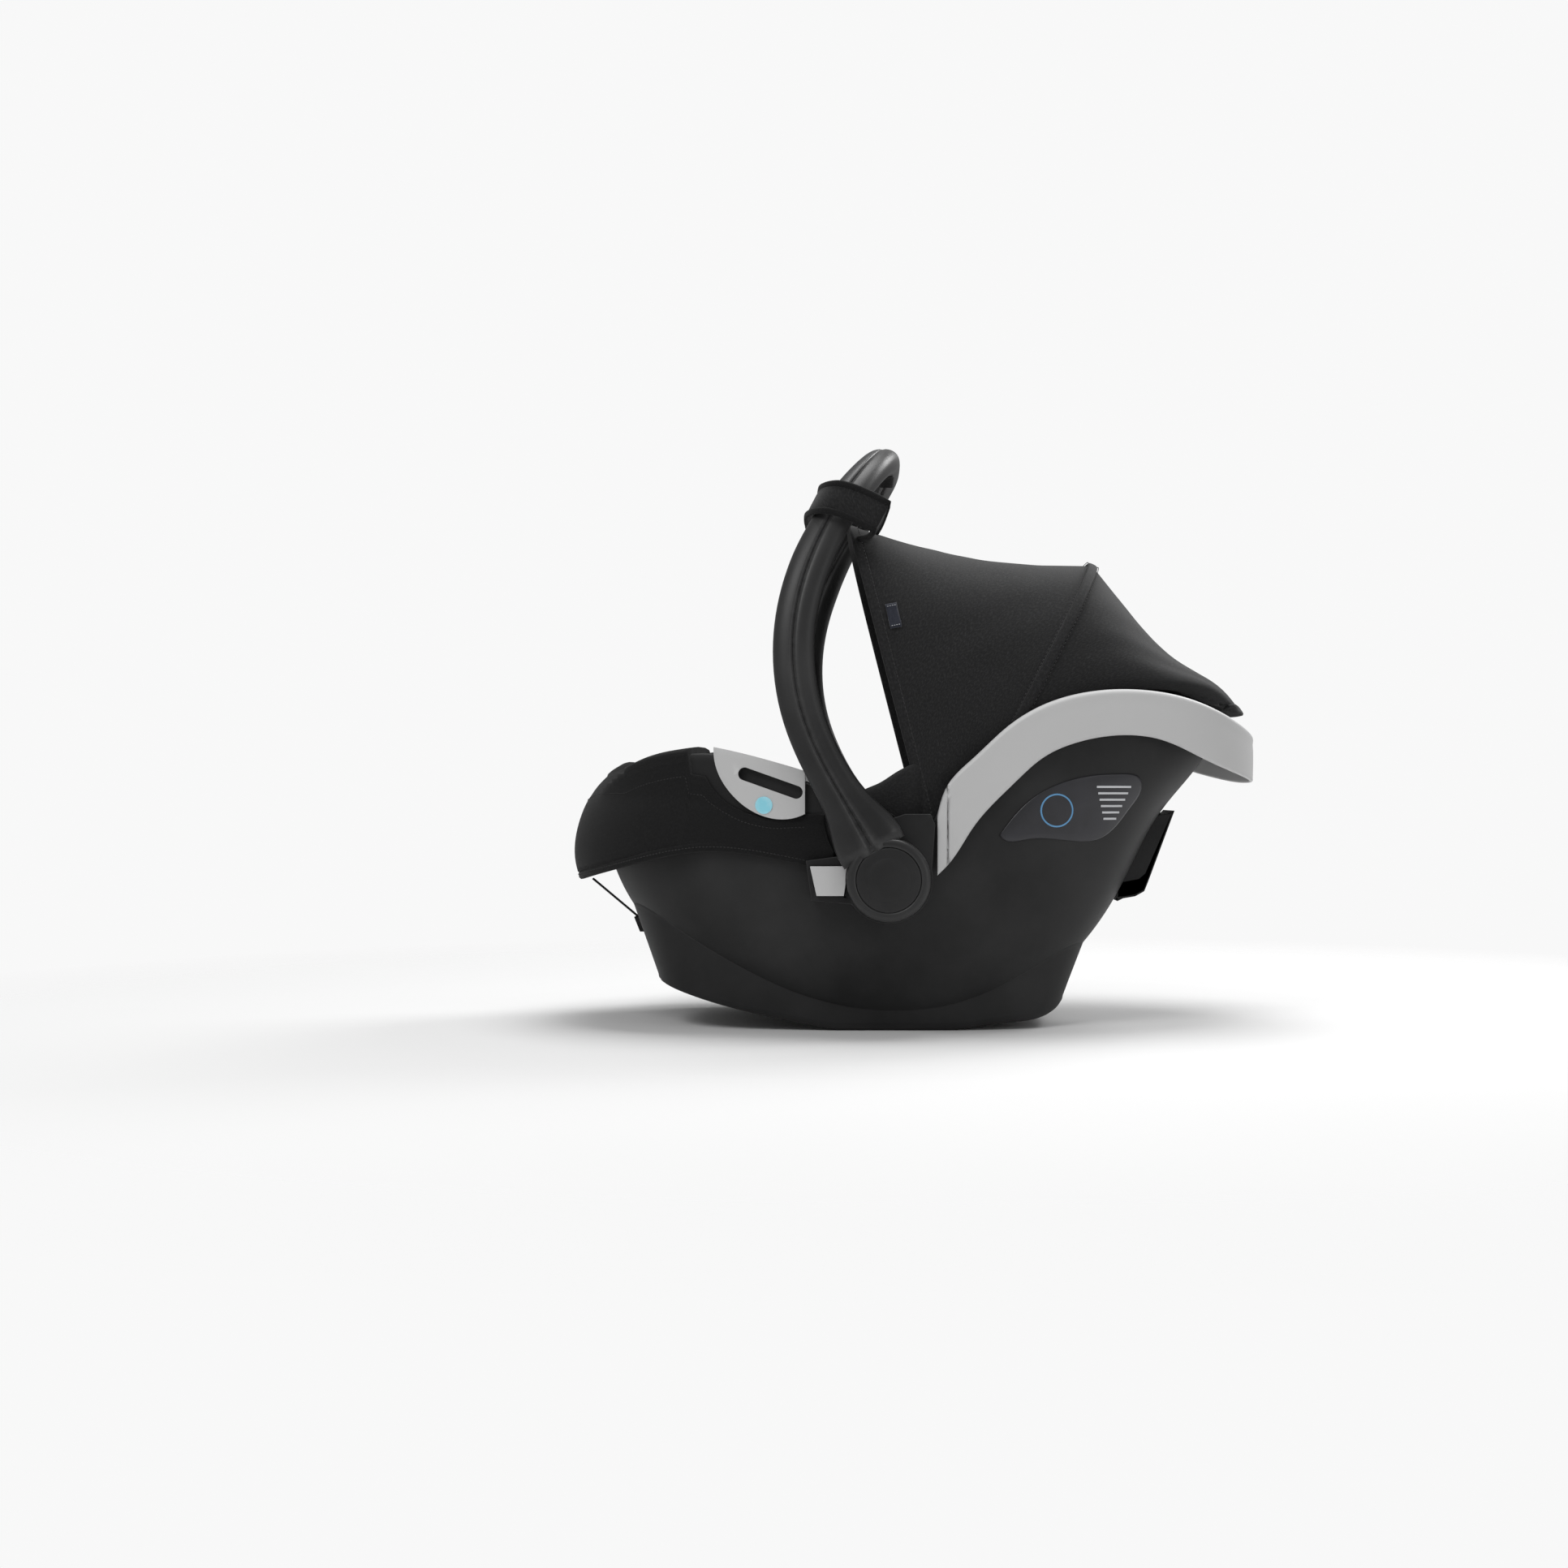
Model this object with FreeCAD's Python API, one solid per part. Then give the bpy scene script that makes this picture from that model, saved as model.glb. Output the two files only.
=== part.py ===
import FreeCAD, Part
import math
import os

# Infant carrier seat, in millimetres. +X points to the head end, +Z is up and Y = 0 is the
# mirror plane. The origin lies on the floor under the middle of the whole seat.
# "left" is the occupant's left, the side of negative Y.

V = FreeCAD.Vector
SIDES = (("left", -1), ("right", 1))

# ---- driving sizes ----
LENGTH = 672.0  # foot cover to the back of the head rim
TUB_WIDTH = 362.0  # moulded tub across its widest level
DRAWN_LENGTH = 672.0  # the length that the side outlines below are drawn for
DRAWN_WIDTH = 362.0  # the width that the cross sizes below are drawn for
SQUARENESS = 2.8  # superellipse exponent of the tub's plan

TUB_WALL = 4.0
SKIN_GAP = 0.5  # between shells that lie against each other
FOAM_THICK = 16.0
COVER_THICK = 4.0

BASE_HALF_WIDTH = 132.0
BASE_WALL = 4.0
RUNNER_WIDTH = 18.0
RUNNER_THICK = 5.0

RIM_WALL = 4.0
RIM_PROUD = 5.0  # how far the head rim stands outside the tub's sides

HUB_RADIUS = 38.5
HUB_STANDOFF = 11.0  # hub base thickness outside the tub
HUB_THICK = 24.5
HUB_GAP = 0.5  # between the hub base and the turning hub
AXLE_RADIUS = 8.0
AXLE_RUNNING_GAP = 0.06
AXLE_HEAD_RADIUS = 13.0
AXLE_HEAD_THICK = 4.0
CAP_RADIUS = 29.5
CAP_THICK = 4.0
CAP_FIT_GAP = 0.25

ARM_THICK = 22.0  # across the seat
ARM_WIDTH = 38.0  # seen from the side, half way up
GRIP_WIDTH = 30.0
GRIP_THICK = 26.0
HANDLE_WALL = 3.0
HANDLE_CLEARANCE = 5.0  # between the grip's underside and the head rim that it passes

BUTTON_PROUD = 8.0
BUTTON_TRAVEL = 5.0
BUTTON_GAP = 0.4

BOW_RADIUS = 3.5
CANOPY_THICK = 2.0
FABRIC_INSIDE_RIM = 6.0  # canopy fabric inside the tub wall's inner face
BOW_SLACK = 2.0  # extra room between the bow and the fabric over it

WEB_WIDTH = 25.0  # harness webbing
WEB_THICK = 1.6
PAD_WIDTH = 46.0
PAD_THICK = 6.0

HUB_X = -27.0
HUB_Z = 146.0


def along(x):
    """A drawn place along the seat, at the chosen length."""
    return x * LENGTH / DRAWN_LENGTH


def across(y):
    """A drawn half width, at the chosen width."""
    return y * TUB_WIDTH / DRAWN_WIDTH


HUB = (along(HUB_X), HUB_Z)
REAR_X = LENGTH / 2
HUB_INNER = TUB_WIDTH / 2 + HUB_STANDOFF
HUB_FACE = HUB_INNER + HUB_GAP
HUB_OUTER = HUB_FACE + HUB_THICK
RIM_HALF_WIDTH = TUB_WIDTH / 2 + RIM_PROUD
ARM_CENTRE = HUB_FACE + 3.0 + ARM_THICK / 2

# level, foot end, head end, share of the full width, upward share of the wall's normal
HULL_ROWS = (
    (8, -75, 45, 0.66, 1.00),
    (24, -140, 96, 0.75, 0.95),
    (48, -198, 138, 0.83, 0.80),
    (80, -246, 170, 0.89, 0.60),
    (120, -281, 198, 0.94, 0.40),
    (165, -301, 221, 0.985, 0.25),
    (210, -312, 247, 1.0, 0.15),
    (250, -318, 280, 1.0, 0.05),
    (290, -320, 302, 1.0, 0.0),
    (335, -320, 310, 1.0, 0.0),
)
# top edge of the head rim, front tip to back
RIM_TOP = (
    (18, 204), (28, 233), (52, 258), (85, 288), (119, 308),
    (164, 320), (206, 322), (252, 316), (300, 299), (336, 280),
)
RIM_BOTTOM = (
    (18, 149), (29, 160), (51, 193), (89, 234), (118, 259),
    (148, 272), (191, 279), (229, 275), (273, 257), (336, 235),
)
RIM_DECK = 4.0
EDGE_UNDER_RIM = 6.0
# top edge of the tub from the foot to the start of the head rim
TUB_EDGE_FRONT = (
    (-322, 196), (-312, 208), (-290, 233), (-262, 250), (-225, 259), (-190, 260),
    (-150, 250), (-105, 234), (-60, 216), (-20, 196), (8, 184), (18, 196),
)
# level and foot end of the foot cover's outer form
COVER_ROWS = (
    (120, -322), (140, -331), (161, -336), (185, -334), (210, -326),
    (235, -310), (255, -286), (275, -250),
)
COVER_TOP = ((-240, 271), (-190, 269), (-150, 261), (-105, 245), (-66, 231))
COVER_HEM = ((-350, 136), (-312, 148), (-279, 157), (-240, 167), (-195, 173), (-140, 168), (-66, 152))
COVER_PROUD = 6.5  # outside the tub's sides
BASE_SIDE = (
    (-278, 122), (-256, 49), (-250, 41), (-184, 22), (-111, 6), (-78, 0),
    (42, 0), (88, 6), (136, 15), (144, 21), (158, 60), (168, 74),
)
# seat surface of the insert on the mirror plane
SEAT_LINE = (
    (-215, 172), (-160, 112), (-100, 80), (-30, 70), (40, 84), (105, 128), (165, 194), (218, 262),
)


# ---- general shapes ----
def spline(points, closed=False):
    curve = Part.BSplineCurve()
    curve.interpolate(Points=[V(*p) for p in points], PeriodicFlag=closed)
    return curve.toShape()


def superellipse(x_low, x_high, half_width, level, exponent=SQUARENESS, steps=28):
    middle = (x_low + x_high) / 2
    reach = (x_high - x_low) / 2
    points = []
    for i in range(steps):
        angle = 2 * math.pi * i / steps
        c = math.cos(angle)
        s = math.sin(angle)
        x = middle + reach * math.copysign(abs(c) ** (2 / exponent), c)
        y = half_width * math.copysign(abs(s) ** (2 / exponent), s)
        points.append((x, y, level))
    return Part.Wire([spline(points, True)])


def hull(offset):
    """The tub's filled outer form, moved inward by offset."""
    wires = []
    for level, foot, head, share, lift in HULL_ROWS:
        inward = offset * math.sqrt(1 - lift * lift)
        half = share * TUB_WIDTH / 2 - inward
        z = level + offset * lift
        wires.append(superellipse(along(foot) + inward, along(head) - inward, half, z))
    return Part.makeLoft(wires, True, False)


def hull_half_width(x, level, offset):
    """Half width of the tub, moved inward by offset, at one place along it."""
    rows = [r for r in HULL_ROWS if r[0] <= level]
    low = rows[-1]
    high = HULL_ROWS[min(len(rows), len(HULL_ROWS) - 1)]
    f = 0 if high is low else (level - low[0]) / (high[0] - low[0])
    foot, head, share = (low[i] + f * (high[i] - low[i]) for i in (1, 2, 3))
    middle = along(foot + head) / 2
    reach = along(head - foot) / 2 - offset
    ratio = min(abs(x - middle) / reach, 1)
    return (share * TUB_WIDTH / 2 - offset) * (1 - ratio ** SQUARENESS) ** (1 / SQUARENESS)


def side_face(curves, corners):
    """A face in the XZ plane: smooth curves joined in turn, then straight to the corners."""
    edges = []
    first = None
    last = None
    for points in curves:
        p = [(along(x), 0, z) for x, z in points]
        if last is not None and (V(*p[0]) - last).Length > 1e-6:
            edges.append(Part.makeLine(last, V(*p[0])))
        edges.append(spline(p))
        first = first or V(*p[0])
        last = V(*p[-1])
    for x, z in corners:
        corner = V(along(x), 0, z)
        edges.append(Part.makeLine(last, corner))
        last = corner
    if (last - first).Length > 1e-6:
        edges.append(Part.makeLine(last, first))
    return Part.Face(Part.Wire(edges))


def slab(face, y_low, y_high):
    """A side face drawn at Y = 0, as thick as the two values say."""
    return face.translated(V(0, y_low, 0)).extrude(V(0, y_high - y_low, 0))


def through(face):
    return slab(face, -TUB_WIDTH, TUB_WIDTH)


def outline(points):
    """A straight-sided face in the XZ plane."""
    p = [V(along(x), 0, z) for x, z in points]
    return Part.Face(Part.makePolygon(p + [p[0]]))


def cylinder(x, z, radius, side, inner, outer):
    """A round piece about a cross axis, between two distances from the mirror plane."""
    return Part.makeCylinder(radius, outer - inner, V(x, side * inner, z), V(0, side, 0))


def shifted(points, rise):
    return [(x, z + rise) for x, z in points]


def half_space(side):
    """Everything on one side of the mirror plane."""
    low = 0 if side > 0 else -TUB_WIDTH
    return Part.makeBox(3 * LENGTH, TUB_WIDTH, 2000, V(-1.5 * LENGTH, low, -1000))


def biggest(shape):
    return max(shape.Solids, key=lambda s: s.Volume)


def tub_edge(front_drop, head_drop):
    points = [(x, z - front_drop) for x, z in TUB_EDGE_FRONT]
    points += [(x, z - head_drop - EDGE_UNDER_RIM) for x, z in RIM_TOP[1:]]
    return points


def below_edge(front_drop, head_drop):
    face = side_face([tub_edge(front_drop, head_drop)], [(345, -60), (-345, -60)])
    return through(face)


# ---- moulded shell ----
def tub_shell(outer):
    shell = outer.cut(hull(TUB_WALL)).common(below_edge(0, 0))
    for _, side in SIDES:
        shell = shell.cut(cylinder(*HUB, AXLE_RADIUS + 0.1, side, 100, HUB_OUTER))
    return shell


def base_plan(inset):
    low = along(-285) + inset
    high = along(175) - inset
    half = across(BASE_HALF_WIDTH) - inset
    wires = [superellipse(low, high, half, z, 4.0) for z in (-20, 200)]
    return Part.makeLoft(wires, True, True)


def base_profile():
    top = [(-278, 122), (-200, 150), (0, 160), (120, 150), (168, 74)]
    return through(outline(list(BASE_SIDE) + list(reversed(top[1:-1]))))


def rocker_base(outer):
    profile = base_profile()
    plan = base_plan(0)
    skirt = plan.cut(base_plan(BASE_WALL)).common(profile)
    floor = profile.cut(profile.translated(V(0, 0, RUNNER_THICK)))
    runner = plan.cut(base_plan(RUNNER_WIDTH)).common(floor)
    base = skirt.fuse(runner).cut(hull(-SKIN_GAP))
    return biggest(base)


def rim_outline(inset, low, high):
    wires = []
    for z in (low, high):
        wires.append(superellipse(-REAR_X + inset, REAR_X - inset, RIM_HALF_WIDTH - inset, z))
    return Part.makeLoft(wires, True, True)


def head_rim():
    low = 120
    high = 345
    band = through(side_face([RIM_TOP, list(reversed(RIM_BOTTOM))], []))
    under_top = shifted(RIM_TOP, -RIM_DECK)
    deck = through(side_face([RIM_TOP, list(reversed(under_top))], []))
    outer = rim_outline(0, low, high)
    wall = outer.cut(rim_outline(RIM_WALL, low, high)).common(band)
    flange = outer.cut(hull(TUB_WALL + 2)).common(deck)
    behind = Part.makeBox(LENGTH, 3 * TUB_WIDTH, 400, V(along(17), -1.5 * TUB_WIDTH, 0))
    return biggest(wall.fuse(flange).common(behind))


GUIDE_TOP = ((-189, 268), (-150, 259), (-104, 245))
GUIDE_BOTTOM = ((-104, 206), (-127, 201), (-150, 207), (-172, 224), (-184, 242), (-189, 268))
GUIDE_PROUD = 8.0
GUIDE_ROOM = 1.8  # between a belt guide and the foot cover round it


def belt_guide_form():
    return through(side_face([GUIDE_TOP, GUIDE_BOTTOM], []))


def belt_guide_room():
    """Space that the foot cover leaves round the belt guides, open upward."""
    middle = V(-140, 0, 245)
    points = []
    for x, z in GUIDE_BOTTOM:
        away = (V(x, 0, z) - middle).normalize() * GUIDE_ROOM
        points.append((x + away.x, z + away.z))
    points.append((points[-1][0], 300))
    points.append((points[0][0], 300))
    return through(outline(points))


def belt_slot_face():
    """A long slot with round ends, leaning down to the head end."""
    radius = 6.0
    a = V(along(-160), 0, 243)
    b = V(along(-112), 0, 226)
    run = (b - a).normalize()
    up = V(-run.z, 0, run.x)
    ends = []
    for p, q, outward in ((a, b, -1), (b, a, 1)):
        arc = Part.Arc(p + up * radius * -outward, p + run * radius * outward, p + up * radius * outward)
        ends.append(arc.toShape())
    sides = [
        Part.makeLine(a - up * radius, b - up * radius),
        Part.makeLine(b + up * radius, a + up * radius),
    ]
    return Part.Face(Part.Wire(Part.__sortEdges__(ends + sides)))


def belt_guides(outer_guide, against, inside):
    """Grey lap-belt guides that straddle the tub's edge on both sides."""
    plate = outer_guide.cut(against).common(belt_guide_form())
    above = belt_guide_form().cut(below_edge(-SKIN_GAP, 0))
    bridge = outer_guide.cut(inside).common(above)
    body = plate.fuse(bridge)
    for name, side in SIDES:
        slot = slab(belt_slot_face(), *sorted((side * 120, side * 300)))
        yield name, biggest(body.common(half_space(side)).cut(slot))


def belt_marks(outer_guide):
    """Round guide marks, let in to the guides' faces."""
    for name, side in SIDES:
        x = along(-142)
        z = 214.0
        disc = cylinder(x, z, 8.0, side, 100, 300)
        yield name, disc.common(hull(-GUIDE_PROUD - 0.8)).cut(outer_guide)


def front_cover(against, guide_room):
    """Padded foot cover: a skirt outside the tub and a cap over its edge."""
    wires = []
    for level, foot in COVER_ROWS:
        half = TUB_WIDTH / 2 + COVER_PROUD
        wires.append(superellipse(along(foot), along(300), half, level))
    outer = Part.makeLoft(wires, True, False)
    top = [(-350, COVER_TOP[0][1])]
    hem = list(reversed(COVER_HEM))
    profile = through(side_face([COVER_TOP, hem], top))
    tub = against.common(below_edge(-1.0, 0))
    opening = hull(TUB_WALL + FOAM_THICK + COVER_THICK + 4)
    cover = outer.common(profile).cut(tub).cut(opening).cut(guide_room)
    for _, side in SIDES:
        cover = cover.cut(hub_base_room(side))
    cover = biggest(cover)
    return cover


def label_plates(against):
    face = outline([(76, 184), (100, 212), (126, 234), (160, 242), (200, 243), (216, 235), (200, 208), (168, 180)])
    plate = hull(-0.8).cut(against).common(through(face))
    for name, side in SIDES:
        yield name, biggest(plate.common(half_space(side)))


def belt_hook():
    """Shoulder-belt hook on the back of the tub, open at its top and sides."""
    points = [
        (200, 118), (206, 121), (218, 123), (227, 128), (231, 138), (254, 200), (257, 208),
        (252, 203), (227, 146), (221, 141), (205, 138), (200, 136),
    ]
    half = 42.0
    return slab(outline(points), -half, half)


# ---- liners ----
LINER_DROP = 8.0  # liners' top edge below the tub's edge
LINER_DROP_AT_HEAD = 16.0


def shell_between(outer_offset, inner_offset, front_drop, head_drop):
    return hull(outer_offset).cut(hull(inner_offset)).common(below_edge(front_drop, head_drop))


WING_TOP = ((-64, 219), (-48, 229), (-34, 235), (-15, 247), (5, 256), (25, 259), (42, 257))
WING_THICK = 8.5
WING_CLEARANCE = 6.0  # inside the canopy's fabric


def liner_wings():
    """Padded side wings that stand on the liner between the foot cover and the canopy."""
    outer = TUB_WALL + FABRIC_INSIDE_RIM + CANOPY_THICK + WING_CLEARANCE
    face = side_face([WING_TOP], [(42, 150), (-64, 150)])
    ring = hull(outer).cut(hull(outer + WING_THICK)).common(through(face))
    ring = ring.cut(below_edge(LINER_DROP - 1, LINER_DROP_AT_HEAD - 1))
    for name, side in SIDES:
        yield name, biggest(ring.common(half_space(side)))


def seat_profile(rise):
    """Everything below the seat line moved up by rise."""
    return through(side_face([shifted(SEAT_LINE, rise)], [(240, -50), (-240, -50)]))


def insert_pad(clear):
    half = across(96.0)
    pad = hull(clear).common(seat_profile(0))
    width = Part.makeBox(2 * LENGTH, 2 * half, 400, V(-LENGTH, -half, 0))
    return biggest(pad.common(width))


def seat_curve():
    return spline([(along(x), 0, z) for x, z in SEAT_LINE])


def seat_strip(start, end, low, high, y_low, y_high, steps=14):
    """A flat piece that follows the seat line between two shares of its length."""
    curve = seat_curve()
    total = curve.Length
    bottom = []
    top = []
    for i in range(steps + 1):
        at = curve.getParameterByLength(total * (start + (end - start) * i / steps))
        p = curve.valueAt(at)
        t = curve.tangentAt(at)
        n = V(-t.z, 0, t.x)
        bottom.append(p + n * low)
        top.append(p + n * high)
    lower = Part.BSplineCurve()
    lower.interpolate(bottom)
    upper = Part.BSplineCurve()
    upper.interpolate(list(reversed(top)))
    wire = Part.Wire([
        lower.toShape(),
        Part.makeLine(bottom[-1], top[-1]),
        upper.toShape(),
        Part.makeLine(top[0], bottom[0]),
    ])
    return slab(Part.Face(wire), y_low, y_high)


# ---- handle ----
# centre line of an arm seen from the side, from near the hub to the middle of the grip
ARM_SIDE = (
    (-40, 171), (-56, 199), (-83, 245), (-106, 299), (-114, 356),
    (-107, 410), (-90, 457), (-68, 497), (-44, 531), (-29, 550),
)


def arch_reach():
    """Distance from the hubs' axis to the middle of the grip, far enough to pass the rim."""
    corner = math.hypot(REAR_X - HUB[0], RIM_TOP[-1][1] - HUB[1])
    return corner + HANDLE_CLEARANCE + GRIP_THICK / 2


ARCH_REACH = arch_reach()
ARCH_SQUARENESS = 3.2


def arm_stations(count=15):
    """Centre, width axis, thickness axis, width and thickness along the whole handle."""
    drawn = [V(along(x) - HUB[0], 0, z - HUB[1]) for x, z in ARM_SIDE]
    grow = ARCH_REACH / drawn[-1].Length
    curve = Part.BSplineCurve()
    curve.interpolate([p * grow for p in drawn])
    edge = curve.toShape()
    half = []
    for i in range(count):
        share = (1 - (1 - i / (count - 1)) ** 1.6)
        at = edge.getParameterByLength(edge.Length * min(share, 1))
        p = edge.valueAt(at)
        reach = math.hypot(p.x, p.z)
        ratio = min(reach / ARCH_REACH, 1)
        y = ARM_CENTRE * (1 - ratio ** ARCH_SQUARENESS) ** (1 / ARCH_SQUARENESS)
        half.append((p, y, ratio))
    centres = [(V(p.x + HUB[0], -y, p.z + HUB[1]), r) for p, y, r in half]
    centres += [(V(c.x, -c.y, c.z), r) for c, r in reversed(centres[:-1])]
    stations = []
    for i, (c, ratio) in enumerate(centres):
        before = centres[max(i - 1, 0)][0]
        after = centres[min(i + 1, len(centres) - 1)][0]
        tangent = (after - before).normalize()
        radial = V(c.x - HUB[0], 0, c.z - HUB[1]).normalize()
        around = V(radial.z, 0, -radial.x)
        width_axis = (around - tangent * around.dot(tangent)).normalize()
        thick_axis = tangent.cross(width_axis)
        flare = 26.0 * math.exp(-((ratio - 0.09) / 0.09) ** 2) if ratio < 0.5 else 0
        blend = max(0.0, (ratio - 0.75) / 0.25)
        width = ARM_WIDTH + flare + (GRIP_WIDTH - ARM_WIDTH) * blend
        thick = ARM_THICK + (GRIP_THICK - ARM_THICK) * blend
        stations.append((c, width_axis, thick_axis, width, thick))
    return stations


def half_section(station, sign, steps=10):
    """One half of the handle's hollow section, towards the foot or the head."""
    c, b, n, width, thick = station
    curves = []
    for inset in (0, HANDLE_WALL):
        points = []
        for i in range(steps + 1):
            angle = math.pi * (i / steps - 0.5)
            u = (width / 2 - inset) * abs(math.cos(angle)) ** (2 / 2.4)
            v = (thick / 2 - inset) * math.copysign(abs(math.sin(angle)) ** (2 / 2.4), math.sin(angle))
            points.append(c + b * (sign * u) + n * v)
        curves.append(points)
    outer = Part.BSplineCurve()
    outer.interpolate(curves[0])
    inner = Part.BSplineCurve()
    inner.interpolate(list(reversed(curves[1])))
    return Part.Wire([
        outer.toShape(),
        Part.makeLine(curves[0][-1], curves[1][-1]),
        inner.toShape(),
        Part.makeLine(curves[1][0], curves[0][0]),
    ])


def handle_shells():
    stations = arm_stations()
    for name, sign in (("front", -1), ("rear", 1)):
        shell = Part.makeLoft([half_section(s, sign) for s in stations], True, False)
        for _, side in SIDES:
            shell = shell.cut(cylinder(*HUB, HUB_RADIUS, side, HUB_FACE - 5, HUB_OUTER + 10))
        yield name, biggest(shell)


def hub_housing(side):
    """Turning hub at the foot of an arm, with a seat for its cap and a bore for the axle."""
    body = cylinder(*HUB, HUB_RADIUS, side, HUB_FACE, HUB_OUTER)
    rim = [e for e in body.Edges if abs(abs(e.CenterOfMass.y) - HUB_OUTER) < 0.01]
    body = body.makeFillet(4.0, rim)
    cap_seat = HUB_OUTER - CAP_THICK + 1
    body = body.cut(cylinder(*HUB, CAP_RADIUS + CAP_FIT_GAP, side, cap_seat, HUB_OUTER + 1))
    head_seat = cap_seat - AXLE_HEAD_THICK - 1.5
    body = body.cut(cylinder(*HUB, AXLE_HEAD_RADIUS + 1, side, head_seat, HUB_OUTER + 1))
    return body.cut(cylinder(*HUB, AXLE_RADIUS + AXLE_RUNNING_GAP, side, HUB_FACE - 1, HUB_OUTER))


def hub_cap(side):
    """Slightly crowned plain cap."""
    seat = HUB_OUTER - CAP_THICK + 1
    cap = cylinder(*HUB, CAP_RADIUS, side, seat, seat + CAP_THICK)
    edge = [e for e in cap.Edges if abs(abs(e.CenterOfMass.y) - seat - CAP_THICK) < 0.01]
    return cap.makeFillet(1.2, edge)


def hub_axle(side):
    """Shoulder bolt: shank through base and tub, head in the hub, flange inside the tub."""
    head = HUB_OUTER - CAP_THICK + 1 - AXLE_HEAD_THICK - 1.0
    inner = TUB_WIDTH / 2 - 15.0
    shank = cylinder(*HUB, AXLE_RADIUS, side, inner, head + 0.5)
    bolt_head = cylinder(*HUB, AXLE_HEAD_RADIUS, side, head, head + AXLE_HEAD_THICK)
    flange = cylinder(*HUB, AXLE_HEAD_RADIUS, side, inner - 4, inner)
    return shank.fuse(bolt_head).fuse(flange)


def button_face(grow):
    points = [(-99, 158), (-64, 158), (-68, 131), (-93, 131)]
    face = outline(points)
    return face if grow == 0 else face.makeOffset2D(grow, 0, False, False)


HUB_BASE_EAR = ((-62, 160), (-40, 196), (-12, 206), (12, 206), (16, 196), (12, 140), (-20, 120))
HUB_BASE_FRAME = ((-103, 163), (-50, 170), (-50, 122), (-98, 126))


def hub_base_form(side, grow):
    """Filled form of the hub base from inside the tub to its outer face."""
    inner = TUB_WIDTH / 2 - 61
    outer = HUB_INNER + grow
    form = cylinder(*HUB, HUB_RADIUS + 2.5 + grow, side, inner, outer)
    for points in (HUB_BASE_EAR, HUB_BASE_FRAME):
        face = outline(points)
        face = face if grow == 0 else face.makeOffset2D(grow, 2, False, False)
        form = form.fuse(slab(face, *sorted((side * inner, side * outer))))
    return form


def hub_base_room(side):
    return hub_base_form(side, 1.0)


def hub_base(side, against):
    """Fixed plate between the tub and the turning hub, with a window for the button."""
    window = slab(button_face(BUTTON_GAP), *sorted((side * 100, side * (HUB_INNER + 1))))
    body = hub_base_form(side, 0).cut(against).cut(window)
    return biggest(body.cut(cylinder(*HUB, AXLE_RADIUS + 0.1, side, 100, HUB_OUTER)))


def handle_button(side):
    inner = TUB_WIDTH / 2 + BUTTON_TRAVEL - 3.0
    body = slab(button_face(0), *sorted((side * inner, side * (HUB_INNER + BUTTON_PROUD))))
    hub_clear = cylinder(*HUB, HUB_RADIUS + 1.0, side, HUB_INNER - 1, HUB_OUTER + 20)
    return biggest(body.cut(hub_clear))


def grip_pad():
    """Soft pad let in to the grip's underside."""
    half = 34.0
    inner = ARCH_REACH - GRIP_THICK / 2
    lean = V(0, 0, 1)
    middle = V(HUB[0], 0, HUB[1]) + lean * inner
    pad = Part.makeBox(16, 2 * half, 1.2, V(middle.x - 8, -half, middle.z - 1.9))
    return pad.makeFillet(0.5, pad.Edges)


# ---- canopy ----
CANOPY_PIVOT = (92.0, 290.0)
BOW_TOP = (176.0, 450.0)
ARCH_SQUARENESS_AT_BOW = 2.7
# each fabric arch: its two feet, its top on the mirror plane and how square its corners are
FRONT_ARCHES = (
    ((15, 190), (-60, 484), 5.0),
    ((37, 225), (8, 468), 3.8),
    ((62, 258), (88, 455), 3.1),
    ((92, 288), (176, 450), ARCH_SQUARENESS_AT_BOW),
)
REAR_ARCHES = (
    ((92, 288), (176, 450), ARCH_SQUARENESS_AT_BOW),
    ((148, 313), (222, 394), ARCH_SQUARENESS_AT_BOW),
    ((202, 322), (268, 351), ARCH_SQUARENESS_AT_BOW),
    ((250, 321), (302, 329), ARCH_SQUARENESS_AT_BOW),
    ((284, 312), (324, 305), ARCH_SQUARENESS_AT_BOW),
)


def arch_points(foot, top, square, half_width, inset, steps=20):
    """Points of a round-cornered arch from one foot to the other."""
    a = V(along(foot[0]), 0, foot[1])
    b = V(along(top[0]), 0, top[1])
    run = b - a
    rise = run.Length - inset
    run.normalize()
    points = []
    for i in range(steps + 1):
        angle = math.pi * i / steps
        c = math.cos(angle)
        s = abs(math.sin(angle)) if 0 < i < steps else 0
        y = -(half_width - inset) * math.copysign(abs(c) ** (2 / square), c)
        p = a + run * (rise * s ** (2 / square))
        points.append(V(p.x, y, p.z))
    return points


def arch_wire(foot, top, square):
    half_width = fabric_half_width(foot)
    outer = arch_points(foot, top, square, half_width, 0)
    inner = list(reversed(arch_points(foot, top, square, half_width, CANOPY_THICK)))
    first = Part.BSplineCurve()
    first.interpolate(outer)
    second = Part.BSplineCurve()
    second.interpolate(inner)
    return Part.Wire([
        first.toShape(),
        Part.makeLine(outer[-1], inner[0]),
        second.toShape(),
        Part.makeLine(inner[-1], outer[0]),
    ])


def fabric_half_width(foot):
    widest = hull_half_width(along(CANOPY_PIVOT[0]), CANOPY_PIVOT[1], TUB_WALL + FABRIC_INSIDE_RIM)
    at_rim = hull_half_width(along(foot[0]), min(foot[1], 330), TUB_WALL + FABRIC_INSIDE_RIM)
    return min(at_rim, widest)


def bow_half_width():
    """Half distance between the bow's two legs, inside the fabric."""
    return fabric_half_width(CANOPY_PIVOT) - CANOPY_THICK - BOW_SLACK - BOW_RADIUS


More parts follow.
